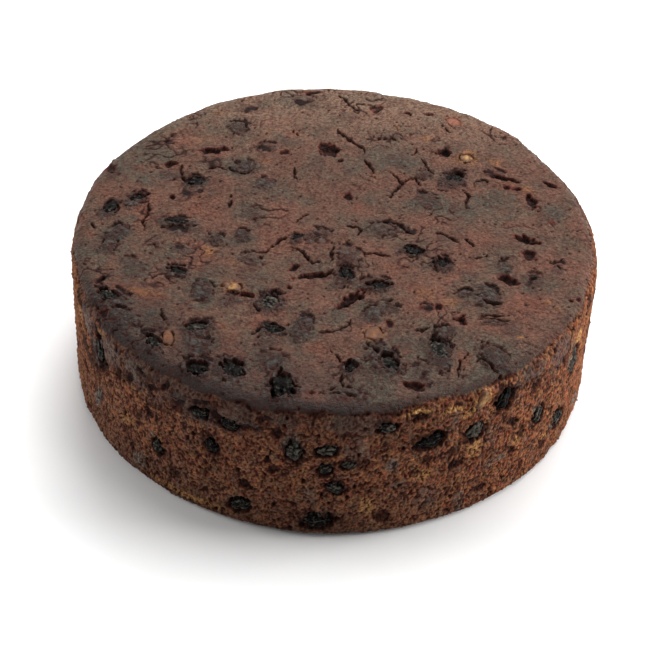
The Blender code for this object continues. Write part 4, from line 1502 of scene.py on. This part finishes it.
def skin_finish():
    """Browned crust and open crumb in one finish, parted by the crust field, with painted shade in the
    crevices, red-brown to black.
    """
    made = Finish("cake_skin")
    fine = made.noise(0.0011, 3.0, 0.65)
    pale = made.noise(0.0012, 3.0, 0.65, 0.11)
    tiny = made.noise(0.00045, 2.0, 0.6)
    # Lines of painted shade for the folds in the film over buried fruits.
    bend = made.math("SUBTRACT", made.noise(0.0030, 2.0, 0.5, 0.9), 0.5)
    fold_shade = made.spread(made.math("ABSOLUTE", bend), 0.035, 0.15)
    crumb = crumb_colour(made, fine, pale, fold_shade)
    colour = made.blend(made.field("crust"), crumb, crust_colour(made, fine, pale, fold_shade))
    colour = made.blend(made.spread(made.field("torn"), 0.0, 0.5, 0.0, 0.8), colour, srgb(92, 34, 22))
    # Painted shade in the crevices: red-brown, then black deeper in.
    colour = made.blend(made.spread(made.field("crevice_shade"), 0.0, 0.55, 0.0, 0.85), colour, srgb(58, 24, 15))
    colour = made.blend(made.spread(made.field("crevice_shade"), 0.45, 1.05), colour, srgb(16, 6, 4))
    rough = made.spread(made.field("crust"), 0.0, 1.0, 0.85, 0.48)
    rough = made.math("ADD", rough, made.spread(fine, 0.3, 0.7, -0.06, 0.08))
    rough = made.math("ADD", rough, made.math("MULTIPLY", made.field("crevice_shade"), 0.25))
    pores = made.math("ADD", made.math("MULTIPLY", fine, 0.7), made.math("MULTIPLY", tiny, 0.3))
    return made.finished(colour, rough, 0.13, pores, 0.0013, 0.95)


def raisin_finish():
    """Black-brown dried skin: painted shade in the creases, and grey on the ridges with dust and painted
    sheen, as much as its field says.
    """
    made = Finish("raisin_skin")
    fine = made.noise(0.0009, 3.0, 0.6)
    wide = made.noise(0.003, 2.0, 0.5)
    colour = made.blend(made.spread(wide, 0.45, 0.65), srgb(5, 4, 3), srgb(17, 15, 12))
    # Grey of dust and painted sheen.
    dusty_sheen = made.math("ADD", fine, made.math("MULTIPLY", made.field("dust_and_sheen"), 0.30))
    colour = made.blend(made.spread(dusty_sheen, 0.64, 0.84, 0.0, 0.9), colour, srgb(92, 87, 78))
    # Painted shade in the creases.
    colour = made.blend(made.math("MULTIPLY", made.field("crease_shade"), 0.95), colour, srgb(4, 2, 2))
    return made.finished(colour, made.spread(fine, 0.3, 0.7, 0.32, 0.5), 0.03, fine, 0.0004, 0.8)


def peel_finish():
    """Golden candied peel that turns crust brown towards its edges, with painted shade in its creases."""
    made = Finish("candied_peel")
    fine = made.noise(0.0012, 3.0, 0.6)
    wide = made.noise(0.0030, 2.0, 0.5)
    gold = made.blend(made.spread(wide, 0.35, 0.65), srgb(150, 104, 52), srgb(186, 146, 88))
    colour = made.blend(made.field("pale"), srgb(98, 54, 20), gold)
    colour = made.blend(made.field("edge"), colour, srgb(86, 54, 38))
    colour = made.blend(made.spread(fine, 0.45, 0.75, 0.0, 0.8), colour, srgb(70, 40, 24))
    # Painted shade in the creases.
    colour = made.blend(made.field("crease_shade"), colour, srgb(52, 26, 12))
    return made.finished(colour, made.spread(fine, 0.3, 0.7, 0.38, 0.6), 0.16, fine, 0.0006, 0.8)


def cherry_finish():
    """Orange-red candied cherry under a thin brown skin."""
    made = Finish("candied_cherry")
    fine = made.noise(0.0013, 3.0, 0.6)
    colour = made.blend(made.spread(fine, 0.3, 0.75), srgb(134, 76, 48), srgb(92, 50, 32))
    colour = made.blend(made.field("edge"), colour, srgb(90, 56, 42))
    # Painted shade in the creases.
    colour = made.blend(made.field("crease_shade"), colour, srgb(56, 20, 10))
    return made.finished(colour, made.spread(fine, 0.3, 0.7, 0.36, 0.55), 0.16, fine, 0.0005, 0.8)


def crumb_finish():
    """Rust-brown crumb, lighter or darker from crumb to crumb."""
    made = Finish("loose_crumb")
    fine = made.noise(0.0008, 3.0, 0.6)
    colour = made.blend(made.field("grain"), srgb(60, 30, 15), srgb(128, 72, 36))
    colour = made.blend(made.spread(fine, 0.35, 0.75, 0.0, 0.6), colour, srgb(38, 17, 9))
    return made.finished(colour, made.spread(fine, 0.3, 0.7, 0.7, 0.9), 0.2, fine, 0.0003, 0.7)


def floor_finish():
    """Pale matt card with the faintest mottle."""
    made = Finish("pale_card")
    mottle = made.noise(0.02, 3.0, 0.5)
    colour = made.blend(made.spread(mottle, 0.3, 0.7), (0.93, 0.93, 0.93), (0.945, 0.945, 0.94))
    made.link(colour, made.shader.inputs["Base Color"])
    made.shader.inputs["Roughness"].default_value = 0.9
    made.shader.inputs["Specular IOR Level"].default_value = 0.1
    return made.material


# ---------------------------------------------------------------- stage

def add_floor():
    """Plain pale floor under the cake."""
    half = 3000.0
    low = -0.15
    corners = [(-half, -half, low), (half, -half, low), (half, half, low), (-half, half, low)]
    floor = add_mesh("floor", corners, [(0, 1, 2, 3)], floor_finish())


def add_panel(name, place, target, size, power_w, colour=(1.0, 1.0, 1.0)):
    """Square soft light at place that faces target, both in metres."""
    light = bpy.data.lights.new(name, "AREA")
    light.shape = "SQUARE"
    light.size = size
    light.energy = power_w
    light.color = colour
    lamp = bpy.data.objects.new(name, light)
    bpy.context.scene.collection.objects.link(lamp)
    away = np.array(place, float) - np.array(target, float)
    tilt = math.atan2(math.hypot(away[0], away[1]), away[2])
    lamp.location = place
    lamp.rotation_euler = (tilt, 0.0, math.atan2(away[0], -away[1]))
    lamp.visible_camera = False
    return lamp


def add_lights():
    """A wide panel overhead, a panel behind that lays the sheen on the crust, and two low side panels."""
    add_panel("overhead", (0.2, 0.35, 0.93), (0.0, 0.0, 0.0), 0.9, 11.6)
    add_panel("behind", (0.0, 1.1, 0.95), (0.0, 0.0, 0.03), 0.8, 12.0)
    add_panel("right", (1.0, 0.1, 0.40), (0.0, 0.0, 0.03), 0.6, 13.0)
    add_panel("left", (-1.0, 0.1, 0.40), (0.0, 0.0, 0.03), 0.6, 6.0)
    world = bpy.data.worlds.new("studio")
    world.use_nodes = True
    world.node_tree.nodes["Background"].inputs["Color"].default_value = (1.0, 1.0, 1.0, 1.0)
    world.node_tree.nodes["Background"].inputs["Strength"].default_value = 0.20
    bpy.context.scene.world = world
    bpy.context.scene.view_settings.view_transform = "Standard"


def add_camera():
    """Camera in front of the cake, looking down on it, with a slight roll.

    The middle of the cake's base lies at a depth along the view, a little left of and below its line.
    """
    elevation = math.radians(41.24)
    roll = math.radians(2.59)
    depth = 799.17
    offset_right = -1.167
    offset_down = 7.754
    forward = np.array([0.0, math.cos(elevation), -math.sin(elevation)])
    up = np.array([0.0, math.sin(elevation), math.cos(elevation)])
    right = np.array([1.0, 0.0, 0.0])
    image_right = math.cos(roll) * right + math.sin(roll) * up
    image_up = -math.sin(roll) * right + math.cos(roll) * up
    place = -(offset_right * image_right - offset_down * image_up + depth * forward) * MM
    camera_data = bpy.data.cameras.new("camera")
    camera_data.sensor_width = 36.0
    camera_data.lens = 108.27
    camera_data.clip_end = 20.0
    camera = bpy.data.objects.new("camera", camera_data)
    bpy.context.scene.collection.objects.link(camera)
    turn = np.eye(4)
    turn[:3, 0] = image_right
    turn[:3, 1] = image_up
    turn[:3, 2] = -forward
    turn[:3, 3] = place
    camera.matrix_world = Matrix(turn.tolist())
    bpy.context.scene.camera = camera


# ---------------------------------------------------------------- the cake

def main():
    """Stage, skins, fruits and crumbs, in that order."""
    add_camera()
    add_lights()
    add_floor()
    skin_material = skin_finish()
    tops = top_skins(skin_material)
    sides, edge = side_skins(skin_material)
    base = base_skin(edge, skin_material)
    for piece in tops + sides + [base]:
        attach(piece, "root")
    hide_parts("cake")
    fruit_piece("raisins", RAISINS, RAISIN, raisin_finish())
    fruit_piece("candied_peel", PEELS, PEEL, peel_finish())
    fruit_piece("candied_cherry", CHERRIES, CHERRY, cherry_finish())
    crumb_piece(crumb_finish())


main()
